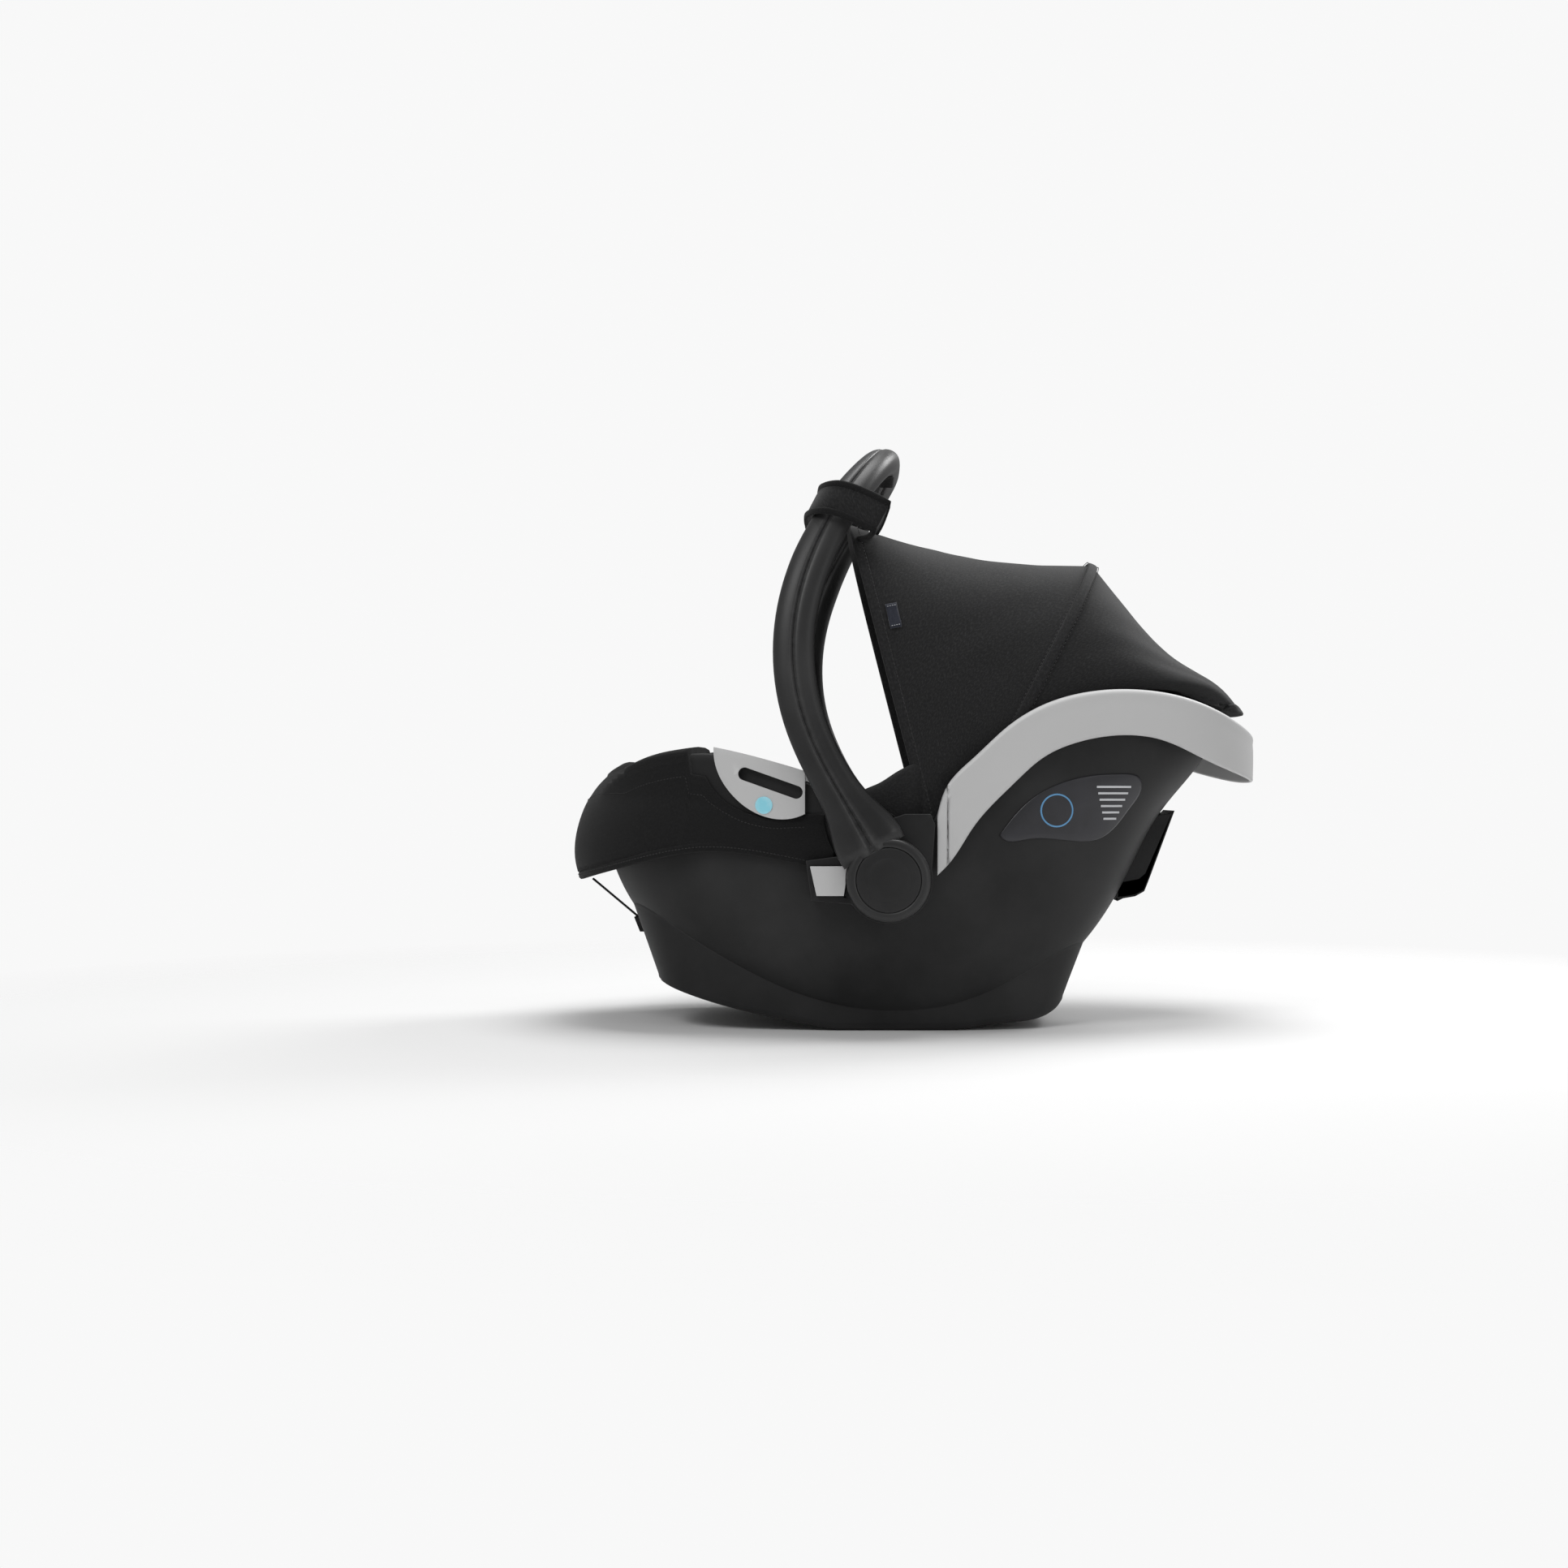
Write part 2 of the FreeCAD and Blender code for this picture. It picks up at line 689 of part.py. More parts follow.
def canopy_panel(arches):
    return Part.makeLoft([arch_wire(*arch) for arch in arches], True, False)


def canopy_bow():
    """One bent rod in a plane through the two pivots."""
    foot = V(along(CANOPY_PIVOT[0]), 0, CANOPY_PIVOT[1])
    top = V(along(BOW_TOP[0]), 0, BOW_TOP[1])
    run = (top - foot).normalize()
    inset = BOW_RADIUS + BOW_SLACK + CANOPY_THICK
    start = 6.0
    rise = (top - foot).Length - inset
    half = bow_half_width()
    points = []
    steps = 18
    for i in range(steps + 1):
        angle = math.pi * i / steps
        c = math.cos(angle)
        s = abs(math.sin(angle)) if 0 < i < steps else 0
        height = max(rise * s ** (2 / ARCH_SQUARENESS_AT_BOW), 0)
        y = -half * math.copysign(abs(c) ** (2 / ARCH_SQUARENESS_AT_BOW), c)
        p = foot + run * (start + (rise - start) / rise * height)
        points.append(V(p.x, y, p.z))
    path = Part.BSplineCurve()
    path.interpolate(points)
    spine = Part.Wire([path.toShape()])
    profile = Part.Wire([Part.makeCircle(BOW_RADIUS, points[0], path.tangent(0)[0])])
    return spine.makePipeShell([profile], True, True)


def bow_end(side):
    """Flat eye that turns on the socket's pin and takes the bow's foot."""
    x = along(CANOPY_PIVOT[0])
    z = CANOPY_PIVOT[1]
    half = bow_half_width()
    eye = cylinder(x, z, 7.0, side, half - 4.5, half + 2.5)
    return eye.cut(cylinder(x, z, PIN_RADIUS + PIN_GAP, side, half - 10, half + 10))


PIN_RADIUS = 3.0
PIN_GAP = 0.06


def canopy_socket(side):
    """Bracket inside the tub wall with the pin that the bow turns on."""
    x = along(CANOPY_PIVOT[0])
    z = CANOPY_PIVOT[1]
    half = bow_half_width()
    wall = half - 9.0
    pin = cylinder(x, z, PIN_RADIUS, side, wall - 0.5, half + 3.0)
    plate = outline([(82, 296), (102, 296), (102, 262), (82, 262)])
    inner_plate = slab(plate, *sorted((side * (wall - 4), side * wall)))
    foot = outline([(82, 270), (102, 270), (102, 262), (82, 262)])
    out = hull_half_width(x, 266, TUB_WALL + 1)
    bridge = slab(foot, *sorted((side * (wall - 1), side * out)))
    return inner_plate.fuse(bridge).fuse(pin)


def socket_room(side):
    """Space that the liners leave for a canopy socket."""
    inner = bow_half_width() - 16.0
    face = outline([(76, 320), (108, 320), (108, 255), (76, 255)])
    return slab(face, *sorted((side * inner, side * TUB_WIDTH)))


def handle_loop():
    """Fabric strap of the canopy that holds it to the handle: round the outside of both
    corners and across the front."""
    low = 484.0
    tilt = V(18, 0, 32)
    back = along(-40)
    front = along(-106)
    half = ARM_CENTRE - 23.0
    rings = []
    for inset in (0, CANOPY_THICK):
        wire = superellipse(front + inset, 2 * back - front - inset, half - inset, low, 6.0, 40)
        rings.append(Part.Face(wire).extrude(tilt))
    ahead = Part.makeBox(LENGTH, 4 * half, 400, V(back - LENGTH, -2 * half, low - 100))
    return rings[0].cut(rings[1]).common(ahead)


def canopy_tag():
    """Small sewn tag that lies on the near side of the front panel."""
    tag = Part.makeBox(11, 1.0, 24, V(along(-33), -168.0, 372))
    tag.rotate(V(along(-33), -168, 372), V(0, 1, 0), -14)
    return tag


# ---- harness ----
def shoulder_strap(side):
    low, high = sorted((side * 14, side * (14 + WEB_WIDTH)))
    return seat_strip(0.60, 0.93, 1.0, 1.0 + WEB_THICK, low, high)


def shoulder_pad(side):
    middle = 14 + WEB_WIDTH / 2
    low, high = sorted((side * (middle - PAD_WIDTH / 2 + 6), side * (middle + PAD_WIDTH / 2)))
    gap = 1.0 + WEB_THICK + 0.4
    return seat_strip(0.70, 0.90, gap, gap + PAD_THICK, low, high)


def crotch_strap():
    half = WEB_WIDTH / 2
    return seat_strip(0.33, 0.455, 1.0, 1.0 + WEB_THICK, -half, half)


def crotch_pad():
    half = 29.0
    gap = 1.0 + WEB_THICK + 0.4
    return seat_strip(0.33, 0.425, gap, gap + PAD_THICK, -half, half)


BUCKLE = (0.46, 0.545)
BUCKLE_HALF = 24.0
BUCKLE_LOW = 1.0
BUCKLE_HIGH = 20.0
BUCKLE_BUTTON = (0.475, 0.512)
BUCKLE_BUTTON_HALF = 11.0
BUCKLE_TRAVEL = 4.0


def buckle_body():
    body = seat_strip(*BUCKLE, BUCKLE_LOW, BUCKLE_HIGH, -BUCKLE_HALF, BUCKLE_HALF, 4)
    half = BUCKLE_BUTTON_HALF + BUTTON_GAP
    margin = BUTTON_GAP / seat_curve().Length
    pocket = seat_strip(
        BUCKLE_BUTTON[0] - margin, BUCKLE_BUTTON[1] + margin, BUCKLE_HIGH - 9, BUCKLE_HIGH + 5, -half, half, 4
    )
    mouths = seat_strip(BUCKLE[1] - 0.035, BUCKLE[1] + 0.02, 7.5, 11.0, -19, 19, 4)
    return body.cut(pocket).cut(mouths)


def buckle_button():
    top = BUCKLE_HIGH + 1.2
    half = BUCKLE_BUTTON_HALF
    return seat_strip(*BUCKLE_BUTTON, BUCKLE_HIGH - 9 + BUCKLE_TRAVEL + 0.6, top, -half, half, 4)


def buckle_tongue(side):
    low, high = sorted((side * 1.0, side * 17.0))
    blade = seat_strip(BUCKLE[1] - 0.03, BUCKLE[1] + 0.03, 8.0, 10.5, low, high, 4)
    low, high = sorted((side * 1.0, side * 38.0))
    bar = seat_strip(BUCKLE[1] + 0.022, BUCKLE[1] + 0.045, 2.8, 10.5, low, high, 4)
    return blade.fuse(bar)


def adjuster_housing():
    body = seat_strip(0.10, 0.155, 0.8, 6.0, -22, 22, 4)
    margin = BUTTON_GAP / seat_curve().Length
    pocket = seat_strip(0.112 - margin, 0.142 + margin, 2.0, 9.0, -12 - BUTTON_GAP, 12 + BUTTON_GAP, 4)
    return body.cut(pocket)


def adjuster_button():
    return seat_strip(0.112, 0.142, 4.4, 7.0, -12, 12, 4)


def headrest_pad(clear):
    """Head-hugging pad on the liner above the insert."""
    ring = hull(clear).cut(hull(clear + 24))
    face = side_face([[(150, 232), (190, 236), (240, 262)]], [(262, 292), (216, 292), (176, 272)])
    half = across(104.0)
    width = Part.makeBox(2 * LENGTH, 2 * half, 400, V(-LENGTH, -half, 0))
    pad = ring.common(through(face)).common(width)
    above = seat_profile(14)
    return biggest(pad.cut(above.common(Part.makeBox(2 * LENGTH, 2 * across(97), 600, V(-LENGTH, -across(97), 0)))))


# ---- foot cover tie ----
TIE_HALF = 6.0
TIE_THICK = 1.5


def cover_tie():
    """Flat elastic tie from the cover's hem to its hook on the tub."""
    a = V(along(-322), 0, 140)
    b = V(along(-276), 0, 101.3)
    run = (b - a).normalize()
    up = V(-run.z, 0, run.x)
    points = [a, b, b + up * TIE_THICK, a + up * TIE_THICK, a]
    return slab(Part.Face(Part.makePolygon(points)), -TIE_HALF, TIE_HALF)


def tie_hook():
    """Small block on the base's front wall that the tie hooks over."""
    return slab(outline([(-280, 101), (-272, 101), (-267.5, 86), (-274, 86)]), -9, 9)


# ---- build ----
def main():
    os.makedirs("parts", exist_ok=True)
    nodes = {}
    outer = hull(0)
    near_outer = hull(-SKIN_GAP)
    nodes["tub_shell"] = tub_shell(outer)
    nodes["rocker_base"] = rocker_base(outer)
    nodes["head_rim"] = head_rim()

    guide_outer = hull(-GUIDE_PROUD)
    inside = hull(TUB_WALL + FOAM_THICK - 2)
    guides = dict(belt_guides(guide_outer, near_outer, inside))
    for name, shape in guides.items():
        nodes["belt_guide_" + name] = shape
    for name, shape in belt_marks(guide_outer):
        nodes["belt_mark_" + name] = shape
    nodes["front_cover"] = front_cover(near_outer, belt_guide_room())
    for name, shape in label_plates(outer):
        nodes["label_plate_" + name] = shape
    nodes["belt_hook"] = belt_hook().cut(outer)

    axles = {name: hub_axle(side) for name, side in SIDES}
    foam_out = TUB_WALL + SKIN_GAP
    foam_in = foam_out + FOAM_THICK
    foam = shell_between(foam_out, foam_in, LINER_DROP, LINER_DROP_AT_HEAD)
    for _, side in SIDES:
        foam = foam.cut(cylinder(*HUB, AXLE_HEAD_RADIUS + 1, side, 100, HUB_INNER))
    cover_out = foam_in + SKIN_GAP
    cover_in = cover_out + COVER_THICK
    liner = shell_between(cover_out, cover_in, LINER_DROP, LINER_DROP_AT_HEAD)
    sockets = {name: canopy_socket(side) for name, side in SIDES}
    for _, side in SIDES:
        room = socket_room(side)
        foam = foam.cut(room)
        liner = liner.cut(room)
    nodes["foam_liner"] = foam
    nodes["seat_liner"] = liner
    for name, shape in liner_wings():
        nodes["liner_wing_" + name] = shape
    nodes["newborn_insert"] = insert_pad(cover_in + SKIN_GAP)
    nodes["headrest_pad"] = headrest_pad(cover_in + SKIN_GAP)

    for name, shape in handle_shells():
        nodes["handle_shell_" + name] = shape
    nodes["grip_pad"] = grip_pad()
    for name, side in SIDES:
        nodes["hub_housing_" + name] = hub_housing(side)
        nodes["hub_cap_" + name] = hub_cap(side)
        nodes["hub_axle_" + name] = axles[name]
        nodes["hub_base_" + name] = hub_base(side, near_outer)
        nodes["handle_button_" + name] = handle_button(side)
        nodes["canopy_socket_" + name] = sockets[name]
        nodes["bow_end_" + name] = bow_end(side)
        nodes["shoulder_strap_" + name] = shoulder_strap(side)
        nodes["shoulder_pad_" + name] = shoulder_pad(side)
        nodes["buckle_tongue_" + name] = buckle_tongue(side)

    nodes["canopy_bow"] = canopy_bow()
    nodes["canopy_front_panel"] = canopy_panel(FRONT_ARCHES)
    nodes["canopy_rear_panel"] = canopy_panel(REAR_ARCHES)
    nodes["canopy_handle_loop"] = handle_loop()
    nodes["canopy_tag"] = canopy_tag()
    nodes["crotch_strap"] = crotch_strap()
    nodes["crotch_pad"] = crotch_pad()
    nodes["buckle_body"] = buckle_body()
    nodes["buckle_button"] = buckle_button()
    nodes["adjuster_housing"] = adjuster_housing()
    nodes["adjuster_button"] = adjuster_button()
    nodes["cover_tie"] = cover_tie()
    nodes["tie_hook"] = tie_hook()

    for name, shape in nodes.items():
        shape.exportStep("parts/" + name + ".step")


main()
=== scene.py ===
"""Infant carrier seat: meshes, cloth and finishes built round the fixed frame.

Tables are in millimetres in the frame's own axes, +X to the head end and +Z up, and every mesh
is turned into metres where it is made."""

import math

import bmesh
import bpy
import numpy as np
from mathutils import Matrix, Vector, noise


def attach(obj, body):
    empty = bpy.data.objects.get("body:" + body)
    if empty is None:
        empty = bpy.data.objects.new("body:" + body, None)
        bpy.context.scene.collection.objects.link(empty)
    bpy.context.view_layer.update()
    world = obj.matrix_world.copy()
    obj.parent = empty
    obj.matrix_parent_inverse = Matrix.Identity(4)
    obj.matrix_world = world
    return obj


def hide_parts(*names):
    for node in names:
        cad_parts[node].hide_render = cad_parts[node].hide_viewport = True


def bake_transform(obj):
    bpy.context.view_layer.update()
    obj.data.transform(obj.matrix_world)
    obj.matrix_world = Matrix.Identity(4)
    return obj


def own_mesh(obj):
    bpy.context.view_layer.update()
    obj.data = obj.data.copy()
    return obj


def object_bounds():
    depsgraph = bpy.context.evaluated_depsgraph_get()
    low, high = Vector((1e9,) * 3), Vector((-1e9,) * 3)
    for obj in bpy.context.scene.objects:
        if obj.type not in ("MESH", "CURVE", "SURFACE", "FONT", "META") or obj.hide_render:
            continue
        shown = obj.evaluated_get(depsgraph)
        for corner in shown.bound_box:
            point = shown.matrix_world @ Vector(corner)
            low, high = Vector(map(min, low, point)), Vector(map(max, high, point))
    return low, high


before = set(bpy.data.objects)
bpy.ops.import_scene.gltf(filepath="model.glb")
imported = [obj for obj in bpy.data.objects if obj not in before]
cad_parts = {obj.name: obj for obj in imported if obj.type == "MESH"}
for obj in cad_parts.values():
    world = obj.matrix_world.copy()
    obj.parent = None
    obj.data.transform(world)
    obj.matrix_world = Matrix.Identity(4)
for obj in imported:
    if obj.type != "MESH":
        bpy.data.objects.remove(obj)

bl_info = {
    "name": "Infant carrier seat",
    "version": (1, 0, 0),
    "blender": (4, 5, 0),
    "location": "View3D > Sidebar > Carrier",
    "description": "Builds an infant carrier seat's shells, fabric, harness and finishes round its frame",
    "category": "Object",
}

MM = 0.001
SIDES = (("left", -1), ("right", 1))
CAD_LOW, CAD_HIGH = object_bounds()

# ---- the seat's own form, in millimetres ----
# level, foot end, head end, share of the full width, upward share of the wall's normal
TUB_ROWS = (
    (8, -75, 45, 0.66, 1.00), (24, -140, 96, 0.75, 0.95), (48, -198, 138, 0.83, 0.80),
    (80, -246, 170, 0.89, 0.60), (120, -281, 198, 0.94, 0.40), (165, -301, 221, 0.985, 0.25),
    (210, -312, 247, 1.0, 0.15), (250, -318, 280, 1.0, 0.05), (290, -320, 302, 1.0, 0.0),
    (335, -320, 310, 1.0, 0.0),
)
TUB_HALF = 181.0
TUB_SQUARE = 2.8
RIM_TOP = (
    (18, 204), (28, 233), (52, 258), (85, 288), (119, 308),
    (164, 320), (206, 322), (252, 316), (300, 299), (336, 280),
)
RIM_BOTTOM = (
    (18, 149), (29, 160), (51, 193), (89, 234), (118, 259),
    (148, 272), (191, 279), (229, 275), (273, 257), (336, 235),
)
RIM_HALF = 186.0
RIM_REACH = 336.0
TUB_EDGE = (
    (-322, 196), (-312, 208), (-290, 233), (-262, 250), (-225, 259), (-190, 260),
    (-150, 250), (-105, 234), (-60, 216), (-20, 196), (8, 184), (18, 196),
)
EDGE_UNDER_RIM = 6.0
BASE_BOTTOM = (
    (-250, 41), (-184, 22), (-111, 6), (-78, 0), (42, 0), (88, 6), (136, 15), (144, 21),
)
BASE_HALF = 132.0
COVER_ROWS = (
    (120, -322), (140, -331), (161, -336), (185, -334), (210, -326), (235, -310), (255, -286), (275, -250),
)
COVER_TOP = ((-345, 271), (-240, 271), (-190, 269), (-150, 261), (-105, 245), (-66, 231))
COVER_HEM = ((-350, 136), (-312, 148), (-279, 157), (-240, 167), (-195, 173), (-140, 168), (-66, 152))
COVER_HALF = 187.5
COVER_HALF_TURN = 1.475
GUIDE_LOW = (
    (-189, 262), (-184, 247), (-176, 232), (-162, 217), (-146, 207), (-126, 202), (-105, 203), (-60, 206),
)
SEAT_LINE = (
    (-215, 172), (-160, 112), (-100, 80), (-30, 70), (40, 84), (105, 128), (165, 194), (218, 262),
)
HUB = (-27.0, 146.0)
HUB_RADIUS = 38.5
HUB_FACE = 192.5
HUB_OUTER = 217.0
CAP_RADIUS = 29.5
ARM_CENTRE = 206.5
ARM_SIDE = (
    (-40, 171), (-56, 199), (-83, 245), (-106, 299), (-114, 356),
    (-107, 410), (-90, 457), (-68, 497), (-44, 531), (-29, 550),
)
ARCH_REACH = 404.9
ARCH_SQUARE = 3.2
ARM_WIDTH = 38.0
ARM_THICK = 22.0
GRIP_WIDTH = 30.0
GRIP_THICK = 26.0
# each fabric arch: its foot, its top on the mirror plane and how square its corners are
FRONT_ARCHES = (
    ((15, 190), (-60, 484), 5.0), ((37, 225), (8, 468), 3.8),
    ((62, 258), (88, 455), 3.1), ((92, 288), (176, 450), 2.7),
)
REAR_ARCHES = (
    ((92, 288), (176, 450), 2.7), ((148, 313), (222, 394), 2.7), ((202, 322), (268, 351), 2.7),
    ((250, 321), (302, 329), 2.7), ((284, 312), (324, 305), 2.7),
)
FABRIC_HALF = 168.7


# ---- curves ----
def smooth_through(knots, values):
    """A smooth function of one number through the values at the knots."""
    t = np.array(knots, float)
    p = np.array(values, float)
    step = np.diff(t)
    size = len(t)
    left = np.eye(size)
    right = np.zeros_like(p)
    for i in range(1, size - 1):
        left[i, i - 1:i + 2] = (step[i - 1], 2 * (step[i - 1] + step[i]), step[i])
        right[i] = 6 * ((p[i + 1] - p[i]) / step[i] - (p[i] - p[i - 1]) / step[i - 1])
    bend = np.linalg.solve(left, right)

    def at(where):
        where = np.clip(np.atleast_1d(np.asarray(where, float)), t[0], t[-1])
        i = np.clip(np.searchsorted(t, where, "right") - 1, 0, size - 2)
        h = step[i]
        u = where - t[i]
        v = h - u
        if p.ndim > 1:
            h, u, v = h[:, None], u[:, None], v[:, None]
        cubic = (bend[i] * v ** 3 + bend[i + 1] * u ** 3) / (6 * h)
        return cubic + (p[i] / h - bend[i] * h / 6) * v + (p[i + 1] / h - bend[i + 1] * h / 6) * u

    return at


def lengths_along(points):
    steps = np.linalg.norm(np.diff(points, axis=0), axis=1)
    return np.concatenate([[0.0], np.cumsum(steps)])


def even_curve(points, count):
    """Evenly spaced points on a smooth curve through the given ones."""
    p = np.array(points, float)
    knots = lengths_along(p)
    fine = smooth_through(knots, p)(np.linspace(0, knots[-1], 30 * len(p)))
    run = lengths_along(fine)
    want = np.linspace(0, run[-1], count)
    return np.stack([np.interp(want, run, fine[:, k]) for k in range(p.shape[1])], 1)


def height_along(points):
    """Height as a function of the place along the seat."""
    fine = even_curve(points, 400)
    return lambda x: np.interp(x, fine[:, 0], fine[:, 1])


def power(value, exponent):
    return np.copysign(np.abs(value) ** exponent, value)


def oval(angle, low, high, half, square):
    """Plan points of a squared oval."""
    middle = (low + high) / 2
    reach = (high - low) / 2
    return middle + reach * power(np.cos(angle), 2 / square), half * power(np.sin(angle), 2 / square)


def even_angles(count, low, high, half, square, start=0.0, end=2 * math.pi):
    """Angles that space a squared oval's points evenly."""
    fine = np.linspace(start, end, 6000)
    x, y = oval(fine, low, high, half, square)
    run = lengths_along(np.stack([x, y], 1))
    return np.interp(np.linspace(0, run[-1], count), run, fine)


tub_row = smooth_through([r[0] for r in TUB_ROWS], [r[1:] for r in TUB_ROWS])
edge_height = height_along(TUB_EDGE)
rim_top = height_along(RIM_TOP)
rim_bottom = height_along(RIM_BOTTOM)
cover_foot = smooth_through([r[0] for r in COVER_ROWS], [r[1] for r in COVER_ROWS])
cover_top = height_along(COVER_TOP)
cover_hem = height_along(COVER_HEM)
guide_low = height_along(GUIDE_LOW)
base_bottom = height_along(BASE_BOTTOM)


def tub_point(angle, level, inward):
    """Points of the tub's form, moved inward."""
    row = tub_row(level)
    foot, head, share, lift = (row[:, k] for k in range(4))
    lift = np.clip(lift, 0, 1)
    side = inward * np.sqrt(1 - lift ** 2)
    x, y = oval(np.asarray(angle, float), foot + side, head - side, share * TUB_HALF - side, TUB_SQUARE)
    return np.stack([x, y, level + inward * lift], 1)


def tub_half_at(x, level, inward):
    """Half width of the tub at one place and level."""
    foot, head, share, _ = tub_row(level)[0]
    middle = (foot + head) / 2
    reach = (head - foot) / 2 - inward
    ratio = min(abs(x - middle) / reach, 0.9999)
    return (share * TUB_HALF - inward) * (1 - ratio ** TUB_SQUARE) ** (1 / TUB_SQUARE)


def top_of_tub(x):
    """Level of the tub's top edge."""
    return np.where(x < 18, edge_height(x), rim_top(x) - EDGE_UNDER_RIM)


def edge_level(angles, inward, drop=0.0):
    """Level of the top edge at each angle of the plan."""
    level = np.full(len(angles), 250.0)
    for _ in range(12):
        level = 0.4 * level + 0.6 * (top_of_tub(tub_point(angles, level, inward)[:, 0]) - drop)
    return level


TUB_ANGLES = even_angles(217, -320, 300, TUB_HALF, TUB_SQUARE)[:-1]


# ---- meshes ----
def mesh_piece(name, points, faces, places=None):
    """A new object from points in millimetres, with weave coordinates for each face's corners in metres."""
    mesh = bpy.data.meshes.new(name)
    mesh.from_pydata([tuple(p * MM) for p in np.asarray(points, float)], [], faces)
    if places is not None:
        layer = mesh.uv_layers.new(name="weave")
        layer.data.foreach_set("uv", np.array(places, float).ravel())
    mesh.shade_smooth()
    mesh.validate()
    made = bpy.data.objects.new(name, mesh)
    bpy.context.scene.collection.objects.link(made)
    return made


def sheet_mesh(name, grid, loop=False, ring=False, cap_low=False, cap_high=False):
    """A mesh through rows of points. loop joins each row's ends, ring joins the last row to the first."""
    grid = np.array(grid, float)
    rows, columns, _ = grid.shape
    across = grid[rows // 2]
    u = np.concatenate([lengths_along(across), [0]]) * MM
    u[columns] = u[columns - 1] + np.linalg.norm(across[0] - across[-1]) * MM
    middle = grid[:, columns // 3]
    v = np.concatenate([lengths_along(middle), [0]]) * MM
    v[rows] = v[rows - 1] + np.linalg.norm(middle[0] - middle[-1]) * MM
    points = grid.reshape(-1, 3)
    faces = []
    places = []
    for i in range(rows if ring else rows - 1):
        for j in range(columns if loop else columns - 1):
            i2 = (i + 1) % rows
            j2 = (j + 1) % columns
            faces.append((i * columns + j, i * columns + j2, i2 * columns + j2, i2 * columns + j))
            places += [(u[j], v[i]), (u[j + 1], v[i]), (u[j + 1], v[i + 1]), (u[j], v[i + 1])]
    for wanted, i in ((cap_low, 0), (cap_high, rows - 1)):
        if not wanted:
            continue
        points = np.vstack([points, grid[i].mean(0)])
        hub = len(points) - 1
        for j in range(columns):
            pair = (i * columns + (j + 1) % columns, i * columns + j)
            faces.append((*(pair if i == 0 else reversed(pair)), hub))
            for k in (*(pair if i == 0 else reversed(pair)), hub):
                places.append((points[k][0] * MM, points[k][1] * MM))
    return mesh_piece(name, points, faces, places)


def outward(piece):
    """Turns every face to the outside."""
    work = bmesh.new()
    work.from_mesh(piece.data)
    bmesh.ops.recalc_face_normals(work, faces=work.faces)
    work.to_mesh(piece.data)
    work.free()
    return piece


def unit(v):
    return v / np.maximum(np.linalg.norm(v, axis=-1, keepdims=True), 1e-12)


def frames_on(path, up):
    """Tangent, side and up at each point of a path. up is one direction or one for each point."""
    path = np.array(path, float)
    ahead = unit(np.gradient(path, axis=0))
    up = np.broadcast_to(np.array(up, float), path.shape)
    side = unit(np.cross(up, ahead))
    return ahead, side, np.cross(ahead, side)


def swept(name, path, up, section, closed=False):
    """A closed section of (side, up) points carried along a path."""
    _, side, top = frames_on(path, up)
    section = np.array(section, float)
    grid = path[:, None] + side[:, None] * section[None, :, :1] + top[:, None] * section[None, :, 1:]
    made = sheet_mesh(name, grid, loop=True, ring=closed, cap_low=not closed, cap_high=not closed)
    return outward(made)


def round_section(radius, sides=10):
    angle = np.linspace(0, 2 * math.pi, sides, endpoint=False)
    return np.stack([radius * np.cos(angle), radius * np.sin(angle)], 1)


def flat_section(width, thick, sides=20, square=6.0):
    angle = even_angles(sides + 1, -width / 2, width / 2, thick / 2, square)[:-1]
    x, y = oval(angle, -width / 2, width / 2, thick / 2, square)
    return np.stack([x, y], 1)


def stitches(name, path, up, pitch=3.4, length=2.4, thread=0.38):
    """A row of thread stitches that lie along a path."""
    path = np.array(path, float)
    run = lengths_along(path)
    count = max(int(run[-1] / pitch), 2)
    starts = (np.arange(count) + 0.5) * run[-1] / count
    ahead, side, top = frames_on(path, up)

    def at(field, s):
        return np.array([np.interp(s, run, field[:, k]) for k in range(3)])

    points = []
    faces = []
    profile = ((-0.5, 0.15), (-0.38, 0.8), (0, 1.0), (0.38, 0.8), (0.5, 0.15))
    for s in starts:
        c, a, b, n = (at(f, s) for f in (path, ahead, side, top))
        first = len(points)
        for along, swell in profile:
            for k in range(6):
                angle = math.pi * k / 3
                radius = thread * swell
                sink = -thread * 1.2 * abs(along) * 2
                points.append(
                    c + a * along * length + b * radius * math.cos(angle)
                    + n * (radius * math.sin(angle) + sink)
                )
        for r in range(len(profile) - 1):
            for k in range(6):
                i = first + r * 6
                faces.append((i + k, i + (k + 1) % 6, i + 6 + (k + 1) % 6, i + 6 + k))
        faces.append(tuple(first + k for k in reversed(range(6))))
        faces.append(tuple(first + 24 + k for k in range(6)))
    return mesh_piece(name, np.array(points), faces)


def welded(node, width):
    """Rounds a carried-over node's sharp edges for the light, leaving its mesh as it is."""
    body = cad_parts[node]
    weld = body.modifiers.new("join", "WELD")
    weld.merge_threshold = 0.00001
    bevel = body.modifiers.new("round", "BEVEL")
    bevel.width = width * MM
    bevel.segments = 3
    bevel.limit_method = "ANGLE"
    bevel.angle_limit = math.radians(40)
    bevel.harden_normals = False
    bevel.use_clamp_overlap = True
    return body


def bumpy(p, size, seed=0.0):
    """Smooth noise from -1 to 1 at a place in millimetres."""
    return noise.noise(Vector((p[0] / size + seed, p[1] / size - seed, p[2] / size + 2 * seed)))


# ---- finishes ----
def add(tree, kind, inputs=None, **settings):
    node = tree.nodes.new("ShaderNode" + kind)
    for key, value in settings.items():
        setattr(node, key, value)
    for key, value in (inputs or {}).items():
        if isinstance(value, bpy.types.NodeSocket):
            tree.links.new(value, node.inputs[key])
        else:
            node.inputs[key].default_value = value
    return node


